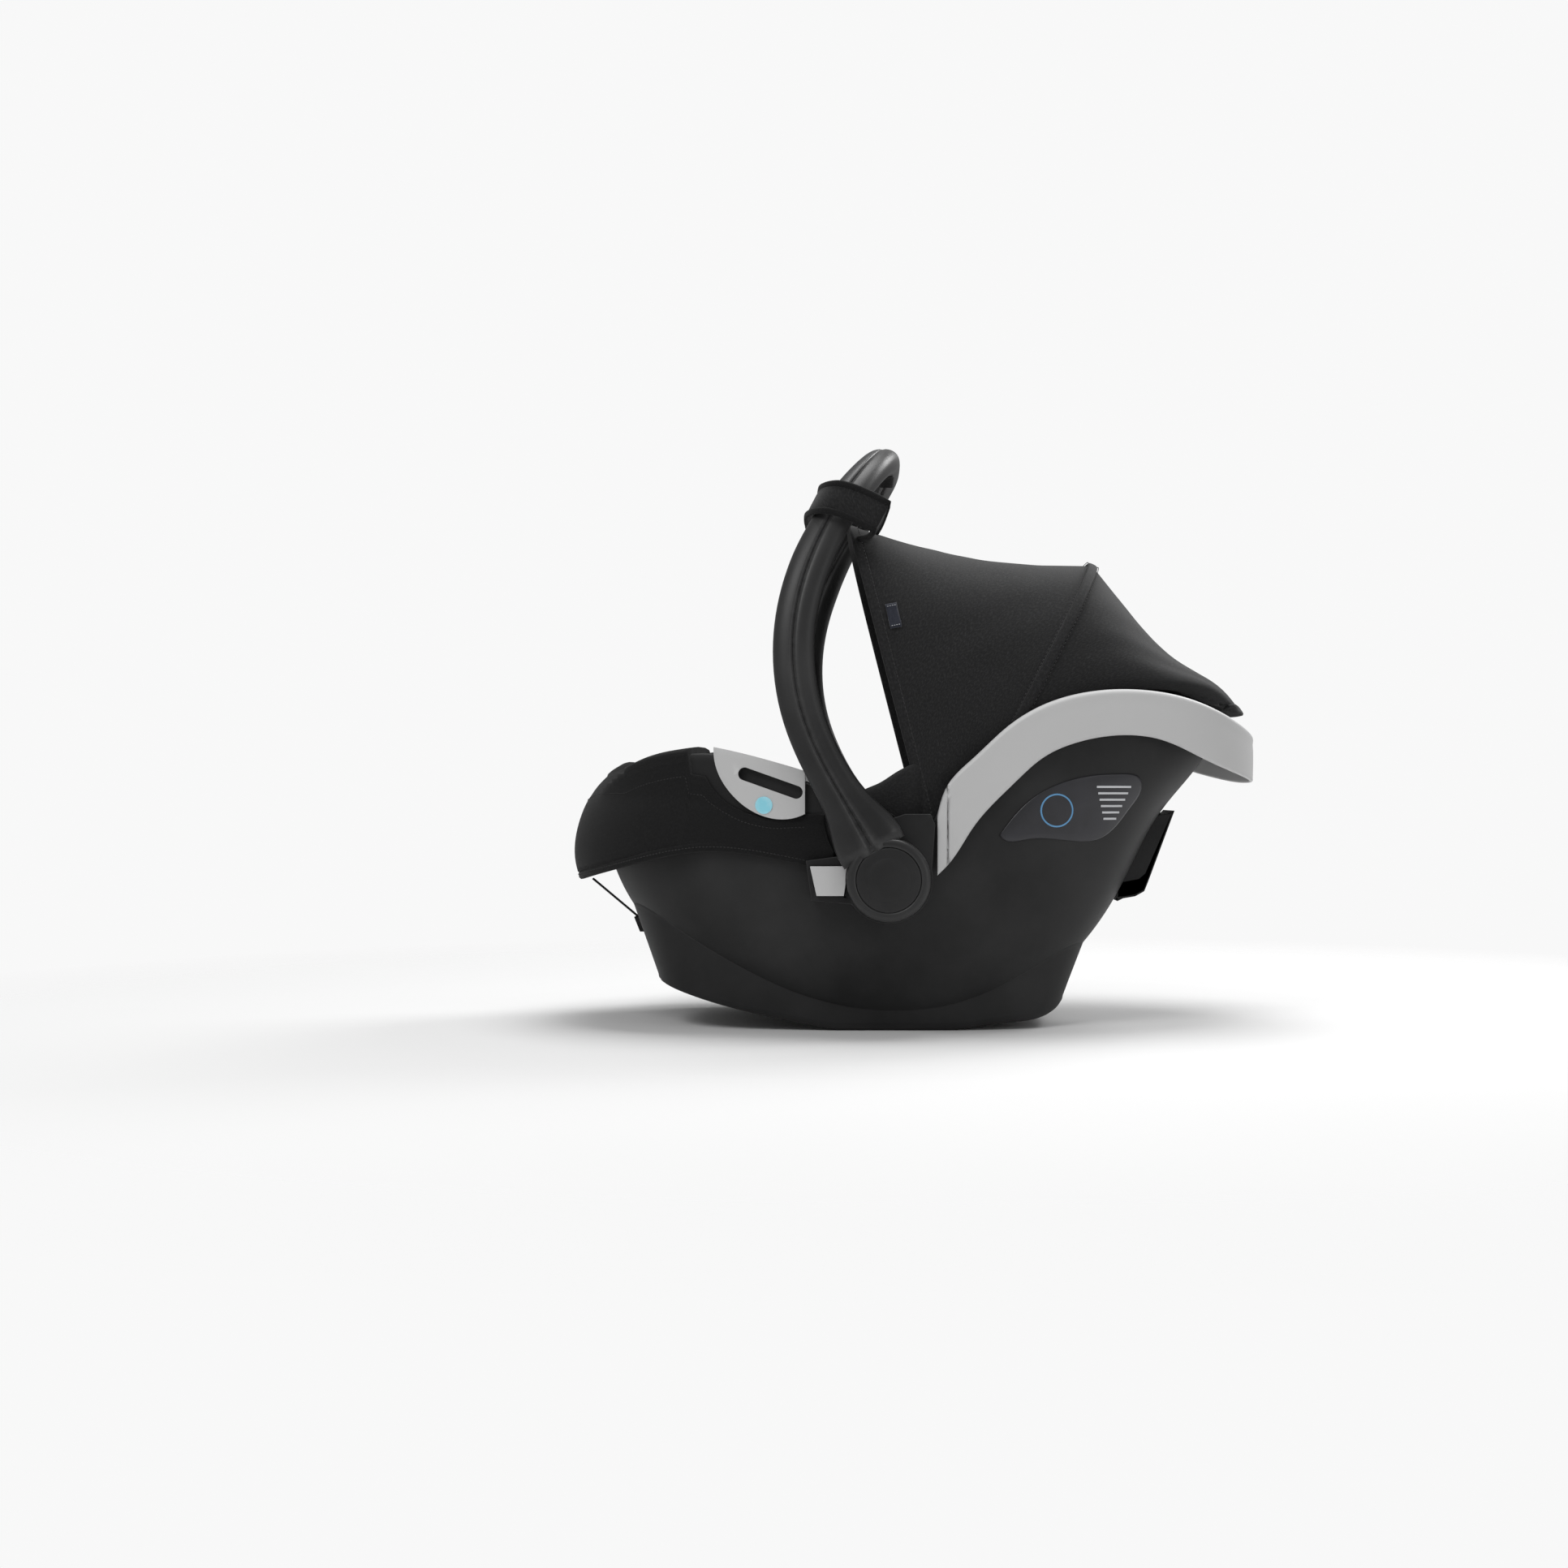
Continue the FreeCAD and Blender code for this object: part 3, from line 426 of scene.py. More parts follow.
def finish_base(name, colour, roughness):
    made = bpy.data.materials.new(name)
    made.use_nodes = True
    surface = made.node_tree.nodes["Principled BSDF"]
    surface.inputs["Base Color"].default_value = (*colour, 1)
    surface.inputs["Roughness"].default_value = roughness
    return made, made.node_tree, surface


def spread(tree, value, low, high, to_low, to_high):
    names = ("From Min", "From Max", "To Min", "To Max")
    inputs = dict(zip(names, (low, high, to_low, to_high)))
    return add(tree, "MapRange", {"Value": value, **inputs}).outputs["Result"]


def mixed(tree, share, a, b):
    return add(tree, "Mix", {0: share, 6: a, 7: b}, data_type="RGBA").outputs[2]


def raised(tree, surface, height, distance):
    bump = add(tree, "Bump", {"Height": height, "Distance": distance, "Strength": 1.0})
    tree.links.new(bump.outputs["Normal"], surface.inputs["Normal"])


def paler(colour, by):
    return tuple(min(1.0, c + (1 - c) * by) for c in colour)


def moulded(name, colour, roughness, grain=0.0006, depth=0.00005, wear=0.06, specular=0.22):
    """Spark-textured moulded plastic, a little paler along its worn edges."""
    made, tree, surface = finish_base(name, colour, roughness)
    surface.inputs["Specular IOR Level"].default_value = specular
    place = add(tree, "TexCoord").outputs["Object"]
    speck = add(tree, "TexNoise", {"Vector": place, "Scale": 1 / grain, "Detail": 3.0}).outputs["Fac"]
    cloud = add(tree, "TexNoise", {"Vector": place, "Scale": 11.0, "Detail": 5.0}).outputs["Fac"]
    tree.links.new(
        spread(tree, cloud, 0.3, 0.7, roughness - 0.07, roughness + 0.07), surface.inputs["Roughness"]
    )
    edge = spread(tree, add(tree, "NewGeometry").outputs["Pointiness"], 0.52, 0.60, 0.0, 1.0)
    scuffs = add(tree, "TexNoise", {"Vector": place, "Scale": 160.0, "Detail": 4.0}).outputs["Fac"]
    worn = add(tree, "Math", {0: edge, 1: scuffs}, operation="MULTIPLY").outputs[0]
    tone = mixed(tree, spread(tree, cloud, 0.25, 0.75, 0.0, 1.0), (*colour, 1), (*paler(colour, 0.02), 1))
    tree.links.new(mixed(tree, worn, tone, (*paler(colour, wear), 1)), surface.inputs["Base Color"])
    raised(tree, surface, speck, depth)
    return made


def woven(name, colour, light, thread=0.0008, roughness=0.92, depth=0.00012, heather=0.5, sheen=0.25):
    """Plain-weave or knitted cloth: two sets of threads with flecks of lighter yarn in them."""
    made, tree, surface = finish_base(name, colour, roughness)
    surface.inputs["Sheen Weight"].default_value = sheen
    surface.inputs["Sheen Roughness"].default_value = 0.55
    surface.inputs["Specular IOR Level"].default_value = 0.25
    place = add(tree, "UVMap", uv_map="weave").outputs["UV"]
    waves = 2 * math.pi / 20 / thread
    warp = add(tree, "TexWave", {"Vector": place, "Scale": waves}, bands_direction="X").outputs["Fac"]
    weft = add(tree, "TexWave", {"Vector": place, "Scale": waves}, bands_direction="Y").outputs["Fac"]
    cross = add(tree, "Math", {0: warp, 1: weft}, operation="MULTIPLY").outputs[0]
    along = add(tree, "Mapping", {"Vector": place, "Scale": (1.0, 0.22, 1.0)}).outputs["Vector"]
    fleck = add(tree, "TexNoise", {"Vector": along, "Scale": 0.9 / thread, "Detail": 3.0}).outputs["Fac"]
    mottle = add(tree, "TexNoise", {"Vector": place, "Scale": 420.0, "Detail": 4.0}).outputs["Fac"]
    yarn = add(tree, "Math", {0: fleck, 1: mottle}, operation="ADD").outputs[0]
    share = spread(tree, yarn, 0.92, 1.32, 0.0, heather)
    shade = spread(tree, cross, 0.0, 1.0, 0.75, 1.1)
    tone = mixed(tree, share, (*colour, 1), (*light, 1))
    toned = add(tree, "VectorMath", {0: tone}, operation="SCALE")
    tree.links.new(shade, toned.inputs["Scale"])
    tree.links.new(toned.outputs["Vector"], surface.inputs["Base Color"])
    high = add(tree, "Math", {0: cross, 1: mottle}, operation="ADD").outputs[0]
    raised(tree, surface, high, depth)
    return made


def webbing(name, colour):
    """Ribbed twill harness webbing."""
    made, tree, surface = finish_base(name, colour, 0.62)
    surface.inputs["Sheen Weight"].default_value = 0.2
    place = add(tree, "UVMap", uv_map="weave").outputs["UV"]
    turned = add(tree, "Mapping", {"Vector": place, "Rotation": (0, 0, math.radians(32))}).outputs["Vector"]
    twill = add(tree, "TexWave", {"Vector": turned, "Scale": 260.0, "Distortion": 0.4}).outputs["Fac"]
    rib = add(tree, "TexWave", {"Vector": place, "Scale": 180.0}, bands_direction="X").outputs["Fac"]
    high = add(tree, "Math", {0: twill, 1: rib}, operation="ADD").outputs[0]
    tone = mixed(tree, spread(tree, high, 0.2, 1.8, 0.0, 1.0), (*colour, 1), (*paler(colour, 0.05), 1))
    tree.links.new(tone, surface.inputs["Base Color"])
    raised(tree, surface, high, 0.0002)
    return made


def beads(name, colour):
    """Expanded foam, with the outlines of its beads."""
    made, tree, surface = finish_base(name, colour, 0.75)
    place = add(tree, "TexCoord").outputs["Object"]
    cell = add(tree, "TexVoronoi", {"Vector": place, "Scale": 330.0}, feature="DISTANCE_TO_EDGE")
    gap = spread(tree, cell.outputs["Distance"], 0.0, 0.12, 0.0, 1.0)
    tone = mixed(tree, gap, (*tuple(c * 0.7 for c in colour), 1), (*colour, 1))
    tree.links.new(tone, surface.inputs["Base Color"])
    raised(tree, surface, gap, 0.0003)
    return made


def metal(name, colour, roughness):
    """Plated steel with fine drawing lines."""
    made, tree, surface = finish_base(name, colour, roughness)
    surface.inputs["Metallic"].default_value = 1.0
    place = add(tree, "TexCoord").outputs["Object"]
    line = add(tree, "Mapping", {"Vector": place, "Scale": (1, 12, 1)}).outputs["Vector"]
    drawn = add(tree, "TexNoise", {"Vector": line, "Scale": 900.0, "Detail": 2.0}).outputs["Fac"]
    tree.links.new(
        spread(tree, drawn, 0.3, 0.7, roughness - 0.08, roughness + 0.1), surface.inputs["Roughness"]
    )
    raised(tree, surface, drawn, 0.00001)
    return made


def printed(name, colour, accent):
    """Satin label film with a faint mottle of a paler tone."""
    made, tree, surface = finish_base(name, colour, 0.34)
    place = add(tree, "TexCoord").outputs["Object"]
    cloud = add(tree, "TexNoise", {"Vector": place, "Scale": 60.0, "Detail": 4.0}).outputs["Fac"]
    tone = mixed(tree, spread(tree, cloud, 0.3, 0.7, 0.0, 1.0), (*colour, 1), (*accent, 1))
    tree.links.new(tone, surface.inputs["Base Color"])
    raised(tree, surface, cloud, 0.00003)
    return made


FINISH = {}


def make_finishes(colours):
    """Every finish of the seat, by the record's slot name."""
    shell = tuple(colours.shell)
    fabric = tuple(colours.fabric)
    grey = tuple(colours.trim)
    FINISH.update(
        shell_plastic=moulded("shell plastic", shell, 0.55, grain=0.0007),
        base_plastic=moulded("base plastic", shell, 0.6, grain=0.0009),
        handle_plastic=moulded(
            "handle plastic", tuple(c * 1.1 for c in shell), 0.42, grain=0.0006, specular=0.36
        ),
        cap_plastic=moulded("cap plastic", tuple(c * 1.25 for c in shell), 0.5, grain=0.0005),
        hub_base_plastic=moulded("hub base plastic", tuple(c * 1.1 for c in shell), 0.52),
        trim_grey=moulded("trim grey", grey, 0.5, grain=0.0006, depth=0.00004, wear=0.3),
        mark_blue=moulded("mark blue", tuple(colours.mark), 0.35, depth=0.00001, wear=0.2),
        label_film=printed("label film", (0.011, 0.011, 0.014), (0.016, 0.016, 0.021)),
        canopy_fabric=woven("canopy fabric", fabric, paler(fabric, 0.035), thread=0.0009, sheen=0.1),
        cover_fabric=woven(
            "cover fabric", tuple(c * 0.5 for c in fabric), paler(fabric, 0.012), heather=0.3, sheen=0.05
        ),
        liner_fabric=woven(
            "liner fabric", tuple(c * 0.8 for c in fabric), paler(fabric, 0.02), thread=0.0011, sheen=0.07
        ),
        insert_fabric=woven(
            "insert fabric", tuple(colours.insert), paler(colours.insert, 0.16), thread=0.0012, sheen=0.35
        ),
        foam_white=beads("foam white", (0.82, 0.82, 0.8)),
        webbing=webbing("webbing", (0.018, 0.018, 0.02)),
        buckle_plastic=moulded("buckle plastic", (0.02, 0.02, 0.021), 0.4, grain=0.0008),
        button_red=moulded("button red", tuple(colours.button), 0.36, depth=0.00002, wear=0.15),
        steel=metal("steel", (0.62, 0.62, 0.64), 0.3),
        bow_wire=metal("bow wire", (0.2, 0.2, 0.21), 0.4),
        grip_rubber=moulded("grip rubber", (0.02, 0.02, 0.02), 0.72, grain=0.0014, depth=0.0001),
        tag_navy=woven("tag navy", (0.014, 0.017, 0.03), (0.03, 0.035, 0.055), thread=0.0004, heather=0.6),
        thread=woven("thread", tuple(c * 0.5 for c in fabric), paler(fabric, 0.05), thread=0.0003),
        pale_print=moulded("pale print", (0.55, 0.56, 0.58), 0.4, depth=0.00001),
        blue_print=moulded("blue print", (0.10, 0.28, 0.5), 0.4, depth=0.00001),
    )


def dressed(piece, slot, body="seat", stands_for=(), finish=None):
    """Gives a piece its finish, its body and the nodes it stands for."""
    piece.data.materials.clear()
    piece.data.materials.append(FINISH[finish or slot])
    if body:
        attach(piece, body)
    if stands_for:
        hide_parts(*stands_for)
    return piece


def paint_node(node, slot, round_by=0.0):
    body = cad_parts[node]
    body.data.materials.clear()
    body.data.materials.append(FINISH[slot])
    if round_by:
        welded(node, round_by)
    return body


# ---- moulded pieces ----
def build_shell(sizes):
    """The tub: outer wall, rounded lip and inner wall in one closed mesh."""
    angles = TUB_ANGLES
    wall = sizes.tub_wall / MM
    top = edge_level(angles, 0.0)
    rows = []
    for share in np.linspace(0, 1, 46) ** 1.15:
        rows.append(tub_point(angles, 8 + (top - 8) * share, 0.0))
    lip = rows[-1]
    inner_top = tub_point(angles, top, wall)
    for turn in (0.2, 0.5, 0.8):
        point = lip + (inner_top - lip) * (1 - math.cos(math.pi * turn)) / 2
        point[:, 2] += 1.6 * math.sin(math.pi * turn)
        rows.append(point)
    for share in np.linspace(1, 0, 16):
        rows.append(tub_point(angles, 10 + (top - 10) * share, wall))
    shell = outward(sheet_mesh("tub_shell_skin", rows, loop=True, cap_low=True, cap_high=True))
    dressed(shell, "shell_plastic", stands_for=["tub_shell"])


def tub_level_over(x, y):
    """Level at which the tub's side passes over a place in the plan."""
    low, high = 8.0, 300.0
    for _ in range(30):
        level = (low + high) / 2
        foot, head, share, _ = tub_row(level)[0]
        ratio = abs(x - (foot + head) / 2) / ((head - foot) / 2)
        inside = ratio < 1 and ratio ** TUB_SQUARE + (abs(y) / (share * TUB_HALF)) ** TUB_SQUARE < 1
        low, high = (low, level) if inside else (level, high)
    return high


def build_base():
    """Rocker base: a drafted skirt with rounded corners down to a curved runner."""
    low, high = -278.0, 168.0
    angles = even_angles(181, low, high, BASE_HALF, 4.0)[:-1]
    x, y = oval(angles, low, high, BASE_HALF, 4.0)
    foot_x = np.where(x < -100, -100 + (x + 100) * 150 / 178, np.where(x > 60, 60 + (x - 60) * 84 / 108, x))
    foot_y = y * 0.975
    floor = np.maximum(base_bottom(foot_x), 0.0)
    top = np.array([min(tub_level_over(a, b) + 1.5, 150.0) for a, b in zip(x, y)])
    top = np.maximum(top, floor + 6.0)
    shares = np.linspace(0, 1, 14)
    upper = np.stack([x, y, top], 1)
    lower = np.stack([foot_x, foot_y, floor], 1)
    centre = np.array([-50.0, 0.0, 0.0])
    inward = unit((centre - lower) * (1, 1, 0))
    radius = np.minimum(8.0, (top - floor) * 0.45)[:, None]
    rows = [upper + (lower - upper) * s * (1 - radius / np.maximum(top - floor, 1)[:, None]) for s in shares]
    last = rows[-1]
    for turn in (0.25, 0.5, 0.75, 1.0):
        angle = turn * math.pi / 2
        down = np.array([0, 0, 1]) * radius * math.sin(angle)
        rows.append(last + inward * radius * (1 - math.cos(angle)) - down)
    under = rows[-1]
    for step, rise in ((8.0, 0.0), (10.5, 0.6), (11.5, 2.5), (11.5, 5.0), (10.5, 7.0), (1.0, 8.0)):
        rows.append(under + inward * step + np.array([0, 0, rise]))
    inner = rows[-1]
    ceiling = np.maximum(top - 2.0, inner[:, 2] + 2.0)
    roof = np.stack([x * 0.97, y * 0.965, ceiling], 1)
    for share in (0.5, 1.0):
        rows.append(inner + (roof - inner) * share)
    base = outward(sheet_mesh("rocker_base_skin", rows, loop=True, ring=True))
    dressed(base, "base_plastic", stands_for=["rocker_base"])


def rim_plan():
    """Plan points of the head rim from one front tip round the back to the other."""
    tip = math.acos((18.2 / RIM_REACH) ** (TUB_SQUARE / 2))
    angles = even_angles(191, -RIM_REACH, RIM_REACH, RIM_HALF, TUB_SQUARE, -tip, tip)
    near = angles[0] + (angles[3] - angles[0]) * np.array([0.08, 0.2, 0.36, 0.55, 0.75])
    return np.concatenate([angles[:1], near, angles[2:-2], -near[::-1], angles[-1:]])


def build_rim(sizes):
    """Grey head rim: proud band with a bevelled top edge, a deck over the tub and an open underside."""
    angles = rim_plan()
    x, y = oval(angles, -RIM_REACH, RIM_REACH, RIM_HALF, TUB_SQUARE)
    slope = [power(v / reach, TUB_SQUARE - 1) / reach for v, reach in ((x, RIM_REACH), (y, RIM_HALF))]
    normal = unit(np.stack([*slope, np.zeros(len(x))], 1))
    top = rim_top(x)
    low = rim_bottom(x)
    wall = sizes.rim_wall / MM
    flange = tub_point(angles, np.minimum(top, 330), 6.0)
    flange[:, 2] = top
    edge = np.stack([x, y, top], 1)
    reach = np.maximum(np.einsum("ij,ij->i", edge - flange, normal), wall + 2)
    height = top - low

    def at(inward, level):
        point = np.stack([x, y, level], 1) - normal * np.broadcast_to(inward, x.shape)[:, None]
        return point

    rows = [at(reach, top - 3.2), at(reach, top - 1.0), at(reach * 0.75, top - 0.3), at(7.0, top - 0.1)]
    for inward, drop in ((4.2, 0.3), (2.0, 1.2), (0.6, 2.8), (0.1, 5.0)):
        rows.append(at(inward, top - drop))
    for share in (0.2, 0.35, 0.5, 0.65, 0.8, 0.92):
        bulge = 0.0 if share < 0.25 else 0.5 * math.sin(math.pi * share)
        rows.append(at(0.6 - bulge, top - height * share))
    rows += [at(0.5, low + 1.2), at(1.3, low + 0.3), at(2.4, low), at(wall - 0.3, low + 0.6)]
    rows += [at(wall, low + 2.5), at(wall, low + height * 0.5), at(wall, top - 6.0), at(reach, top - 5.0)]
    rim = outward(sheet_mesh("head_rim_skin", np.array(rows), ring=True, cap_low=False))
    close_ends(rim, len(rows), len(angles))
    dressed(rim, "trim_grey", stands_for=["head_rim"])


def close_ends(piece, rows, columns):
    """Closes the two open ends of a band whose section runs along the rows."""
    work = bmesh.new()
    work.from_mesh(piece.data)
    work.verts.ensure_lookup_table()
    for j in (0, columns - 1):
        work.faces.new([work.verts[i * columns + j] for i in range(rows)])
    bmesh.ops.recalc_face_normals(work, faces=work.faces)
    work.to_mesh(piece.data)
    work.free()
    for face in piece.data.polygons:
        face.use_smooth = len(face.vertices) < 5


def on_tub(x, z, side, inward):
    """A point on the tub's side."""
    return np.array([x, side * tub_half_at(x, z, inward), z])


def build_labels():
    """Generic instruction panel: film with plain bars and a plain ring, and no words."""
    outline = even_curve(
        ((76, 186), (88, 202), (104, 218), (130, 233), (160, 241), (195, 243), (211, 239),
         (213, 231), (203, 212), (188, 193), (172, 182), (150, 180), (100, 182), (80, 182), (76, 186)), 72
    )[:-1]
    middle = np.array([145.0, 210.0])
    bars = [(168 + 1.5 * k, 232 - 6 * k, 34 - 4.2 * k) for k in range(6)]
    for name, side in SIDES:
        rows = []
        for share in (0.02, 0.25, 0.5, 0.75, 0.97, 1.0, 1.0):
            proud = -1.0 if len(rows) < 5 else (-0.8 if len(rows) == 5 else 0.4)
            ring = middle + (outline - middle) * share
            rows.append([on_tub(px, pz, side, proud) for px, pz in ring])
        film = outward(sheet_mesh(f"label_{name}_film", rows, loop=True, cap_low=True, cap_high=False))
        dressed(film, "label_film", stands_for=[f"label_plate_{name}"])
        points = []
        faces = []
        for px, pz, run in bars:
            steps = np.linspace(0, run, 13)
            for dx in steps:
                first = len(points)
                for dz, proud in ((0, -1.3), (-2.0, -1.3), (-2.0, -0.9), (0, -0.9)):
                    points.append(on_tub(px + dx, pz + dz, side, proud))
                if dx > 0:
                    for a in range(4):
                        b = (a + 1) % 4
                        faces.append((first + a - 4, first + b - 4, first + b, first + a))
        lines = outward(mesh_piece(f"label_{name}_bars", points, faces))
        dressed(lines, "label_film", finish="pale_print")
        ring = []
        for k in range(41):
            angle = math.pi * k / 20
            ring.append(on_tub(130 + 15 * math.cos(angle), 209 + 15 * math.sin(angle), side, -1.1))
        hoop = swept(f"label_{name}_ring", np.array(ring[:-1]), (0, side, 0), flat_section(1.6, 0.5, 8), True)
        dressed(hoop, "label_film", finish="blue_print")


def build_hubs(sizes):
    """Turning hubs and their plain crowned caps, turned about the handle's axis."""
    radius = sizes.hub_radius / MM
    body = (
        (9.0, HUB_FACE + 0.2), (radius - 1.2, HUB_FACE + 0.2), (radius, HUB_FACE + 1.4),
        (radius, HUB_OUTER - 5.2), (radius - 0.35, HUB_OUTER - 3.2), (radius - 1.4, HUB_OUTER - 1.4),
        (radius - 3.0, HUB_OUTER - 0.35), (radius - 4.6, HUB_OUTER), (CAP_RADIUS + 2.2, HUB_OUTER + 0.05),
        (CAP_RADIUS + 0.9, HUB_OUTER - 0.2), (CAP_RADIUS + 0.4, HUB_OUTER - 0.9),
        (CAP_RADIUS + 0.3, HUB_OUTER - 2.9), (9.0, HUB_OUTER - 2.9),
    )
    cap = (
        (3.0, HUB_OUTER - 2.6), (CAP_RADIUS, HUB_OUTER - 2.6), (CAP_RADIUS, HUB_OUTER - 0.7),
        (CAP_RADIUS - 0.5, HUB_OUTER - 0.15), (CAP_RADIUS - 1.4, HUB_OUTER + 0.1),
        (CAP_RADIUS - 6.0, HUB_OUTER + 0.45), (CAP_RADIUS - 8.0, HUB_OUTER + 0.55),
        (CAP_RADIUS - 8.5, HUB_OUTER + 0.35), (CAP_RADIUS - 9.1, HUB_OUTER + 0.35),
        (CAP_RADIUS - 9.6, HUB_OUTER + 0.6), (14.0, HUB_OUTER + 0.72),
        (8.0, HUB_OUTER + 0.8), (3.0, HUB_OUTER + 0.84),
    )
    angles = np.linspace(0, 2 * math.pi, 97)[:-1]
    for name, side in SIDES:
        for part, profile, slot in (("housing", body, "handle_plastic"), ("cap", cap, "cap_plastic")):
            rows = []
            for r, y in profile:
                ring = [np.full(96, 0.0), np.full(96, side * y), np.full(96, 0.0)]
                ring[0] = HUB[0] + r * np.cos(angles)
                ring[2] = HUB[1] + r * np.sin(angles)
                rows.append(np.stack(ring, 1))
            closed = part == "housing"
            made = sheet_mesh(f"hub_{part}_{name}_turned", rows, True, closed, not closed, not closed)
            turned = outward(made)
            dressed(turned, slot, "handle", [f"hub_{part}_{name}"])


# ---- handle ----
def handle_path(count):
    """Centre, width axis, thickness axis and both sizes along the whole handle."""
    drawn = np.array([(x - HUB[0], z - HUB[1]) for x, z in ARM_SIDE])
    drawn = drawn * ARCH_REACH / np.linalg.norm(drawn[-1])
    run = even_curve(drawn, 400)
    share = 1 - (1 - np.linspace(0, 1, count)) ** 1.8
    side = np.stack([np.interp(share, np.linspace(0, 1, 400), run[:, k]) for k in (0, 1)], 1)
    ratio = np.minimum(np.linalg.norm(side, axis=1) / ARCH_REACH, 1)
    y = ARM_CENTRE * (1 - ratio ** ARCH_SQUARE) ** (1 / ARCH_SQUARE)
    half = np.stack([side[:, 0] + HUB[0], -y, side[:, 1] + HUB[1]], 1)
    centres = np.vstack([half, (half * (1, -1, 1))[-2::-1]])
    ratio = np.concatenate([ratio, ratio[-2::-1]])
    tangent = unit(np.gradient(centres, axis=0))
    radial = unit((centres - (HUB[0], 0, HUB[1])) * (1, 0, 1))
    around = np.stack([radial[:, 2], np.zeros(len(radial)), -radial[:, 0]], 1)
    wide = unit(around - tangent * np.einsum("ij,ij->i", around, tangent)[:, None])
    thick = np.cross(tangent, wide)
    flare = np.where(ratio < 0.5, 26.0 * np.exp(-((ratio - 0.09) / 0.09) ** 2), 0)
    blend = np.clip((ratio - 0.75) / 0.25, 0, 1)
    width = ARM_WIDTH + flare + (GRIP_WIDTH - ARM_WIDTH) * blend
    depth = ARM_THICK + (GRIP_THICK - ARM_THICK) * blend
    return centres, wide, thick, width, depth, ratio


def build_handle():
    """Two moulded half shells that meet along the handle, with a crease that sweeps into the hub."""
    centres, wide, thick, width, depth, ratio = handle_path(70)
    outer_sign = np.sign(np.einsum("ij,ij->i", thick, centres * (0, 1, 0)))
    outer_sign[outer_sign == 0] = 1
    for name, sign in (("front", -1), ("rear", 1)):
        turn = np.linspace(-0.5, 0.5, 23) * math.pi
        rows = []
        for angle in turn:
            u = width / 2 * abs(math.cos(angle)) ** (2 / 2.4)
            v = depth / 2 * math.copysign(abs(math.sin(angle)) ** (2 / 2.4), math.sin(angle))
            lean = abs(angle) / (math.pi / 2)
            if lean > 0.97:
                v = v * (1 - 0.7 / (depth / 2))
            # a shallow swept crease on the outer face of each arm
            face = np.exp(-((ratio - 0.28) / 0.2) ** 2) * math.exp(-((lean - 0.72) / 0.12) ** 2)
            v = v - np.sign(v) * face * 0.8 * (sign > 0)
            rows.append(centres + wide * (sign * u + sign * 0.12)[:, None] + thick * v[:, None])
        for angle in turn[::-1][1:-1:2]:
            u = (width / 2 - 3) * abs(math.cos(angle)) ** (2 / 2.4)
            v = (depth / 2 - 3) * math.copysign(abs(math.sin(angle)) ** (2 / 2.4), math.sin(angle))
            rows.append(centres + wide * (sign * u + sign * 0.12)[:, None] + thick * v[:, None])
        grid = np.array(rows)
        shell = sheet_mesh(f"handle_{name}_moulding", grid, ring=True)
        close_ends(shell, len(rows), grid.shape[1])
        dressed(shell, "handle_plastic", "handle", [f"handle_shell_{name}"])
    under_grip = HUB[1] + ARCH_REACH - GRIP_THICK / 2 - 0.9
    pad = np.array([(HUB[0], y, under_grip) for y in np.linspace(-34, 34, 35)])
    swell = swept("grip_pad_moulding", pad, (0, 0, 1), flat_section(15, 2.0, 16, 3.0))
    for k in range(-5, 6):
        rib = np.array([(HUB[0] - 6 + 12 * s, 5.5 * k, pad[0][2] - 1.0) for s in np.linspace(0, 1, 6)])
        bar = swept(f"grip_rib_{k + 6}", rib, (0, 0, 1), round_section(0.8, 8))
        dressed(bar, "grip_rubber", "handle")
    dressed(swell, "grip_rubber", "handle", ["grip_pad"])


# ---- foot cover ----
def cover_section(angles):
    """Rows of the foot cover from inside the tub, over its top and down to the hem."""
    hem_rows = 22
    top = np.zeros(len(angles))
    low = np.zeros(len(angles))
    for i, angle in enumerate(angles):
        level = 262.0
        for z in np.arange(272.0, 205.0, -1.0):
            outer = cover_form([angle], [z])[0]
            inner = tub_point([angle], [z], 26.0)[0]
            gap = np.linalg.norm(outer - inner) * (1 if abs(outer[0] - 20) >= abs(inner[0] - 20) else -1)
            if z <= cover_top(outer[0]) - 4 and gap > 14:
                level = z
                break
        top[i] = level
        hem = 160.0
        for _ in range(8):
            hem = 0.5 * hem + 0.5 * float(cover_hem(cover_form([angle], [hem])[0][0]))
        low[i] = hem
    top = np.convolve(np.pad(top, 3, "edge"), np.ones(7) / 7, "valid")
    reach = cover_form(angles, top)[:, 0]
    tucked = reach > GUIDE_LOW[0][0] - 5.0
    lip = edge_level(angles, 0.0)
    top = np.where(tucked, np.minimum(top, guide_low(reach) - 1.0), np.maximum(top, lip + 3.0))
    outer_rows = []
    for share in np.linspace(0, 1, hem_rows):
        level = low + (top - low) * share
        form = cover_form(angles, level)
        wall = tub_point(angles, level, -3.8)
        behind = np.hypot(wall[:, 0] + 10, wall[:, 1]) - np.hypot(form[:, 0] + 10, form[:, 1])
        push = np.clip(behind / 2, 0, 1) * np.clip((lip + 7.0 - level) / 3, 0, 1)
        outer_rows.append(form + (wall - form) * push[:, None])
    return top, low, outer_rows, tucked


def cover_form(angle, level):
    """Points on the foot cover's outer form."""
    foot = cover_foot(level)
    x, y = oval(np.asarray(angle, float), foot, 300.0, COVER_HALF, TUB_SQUARE)
    return np.stack([x, y, np.asarray(level, float)], 1)


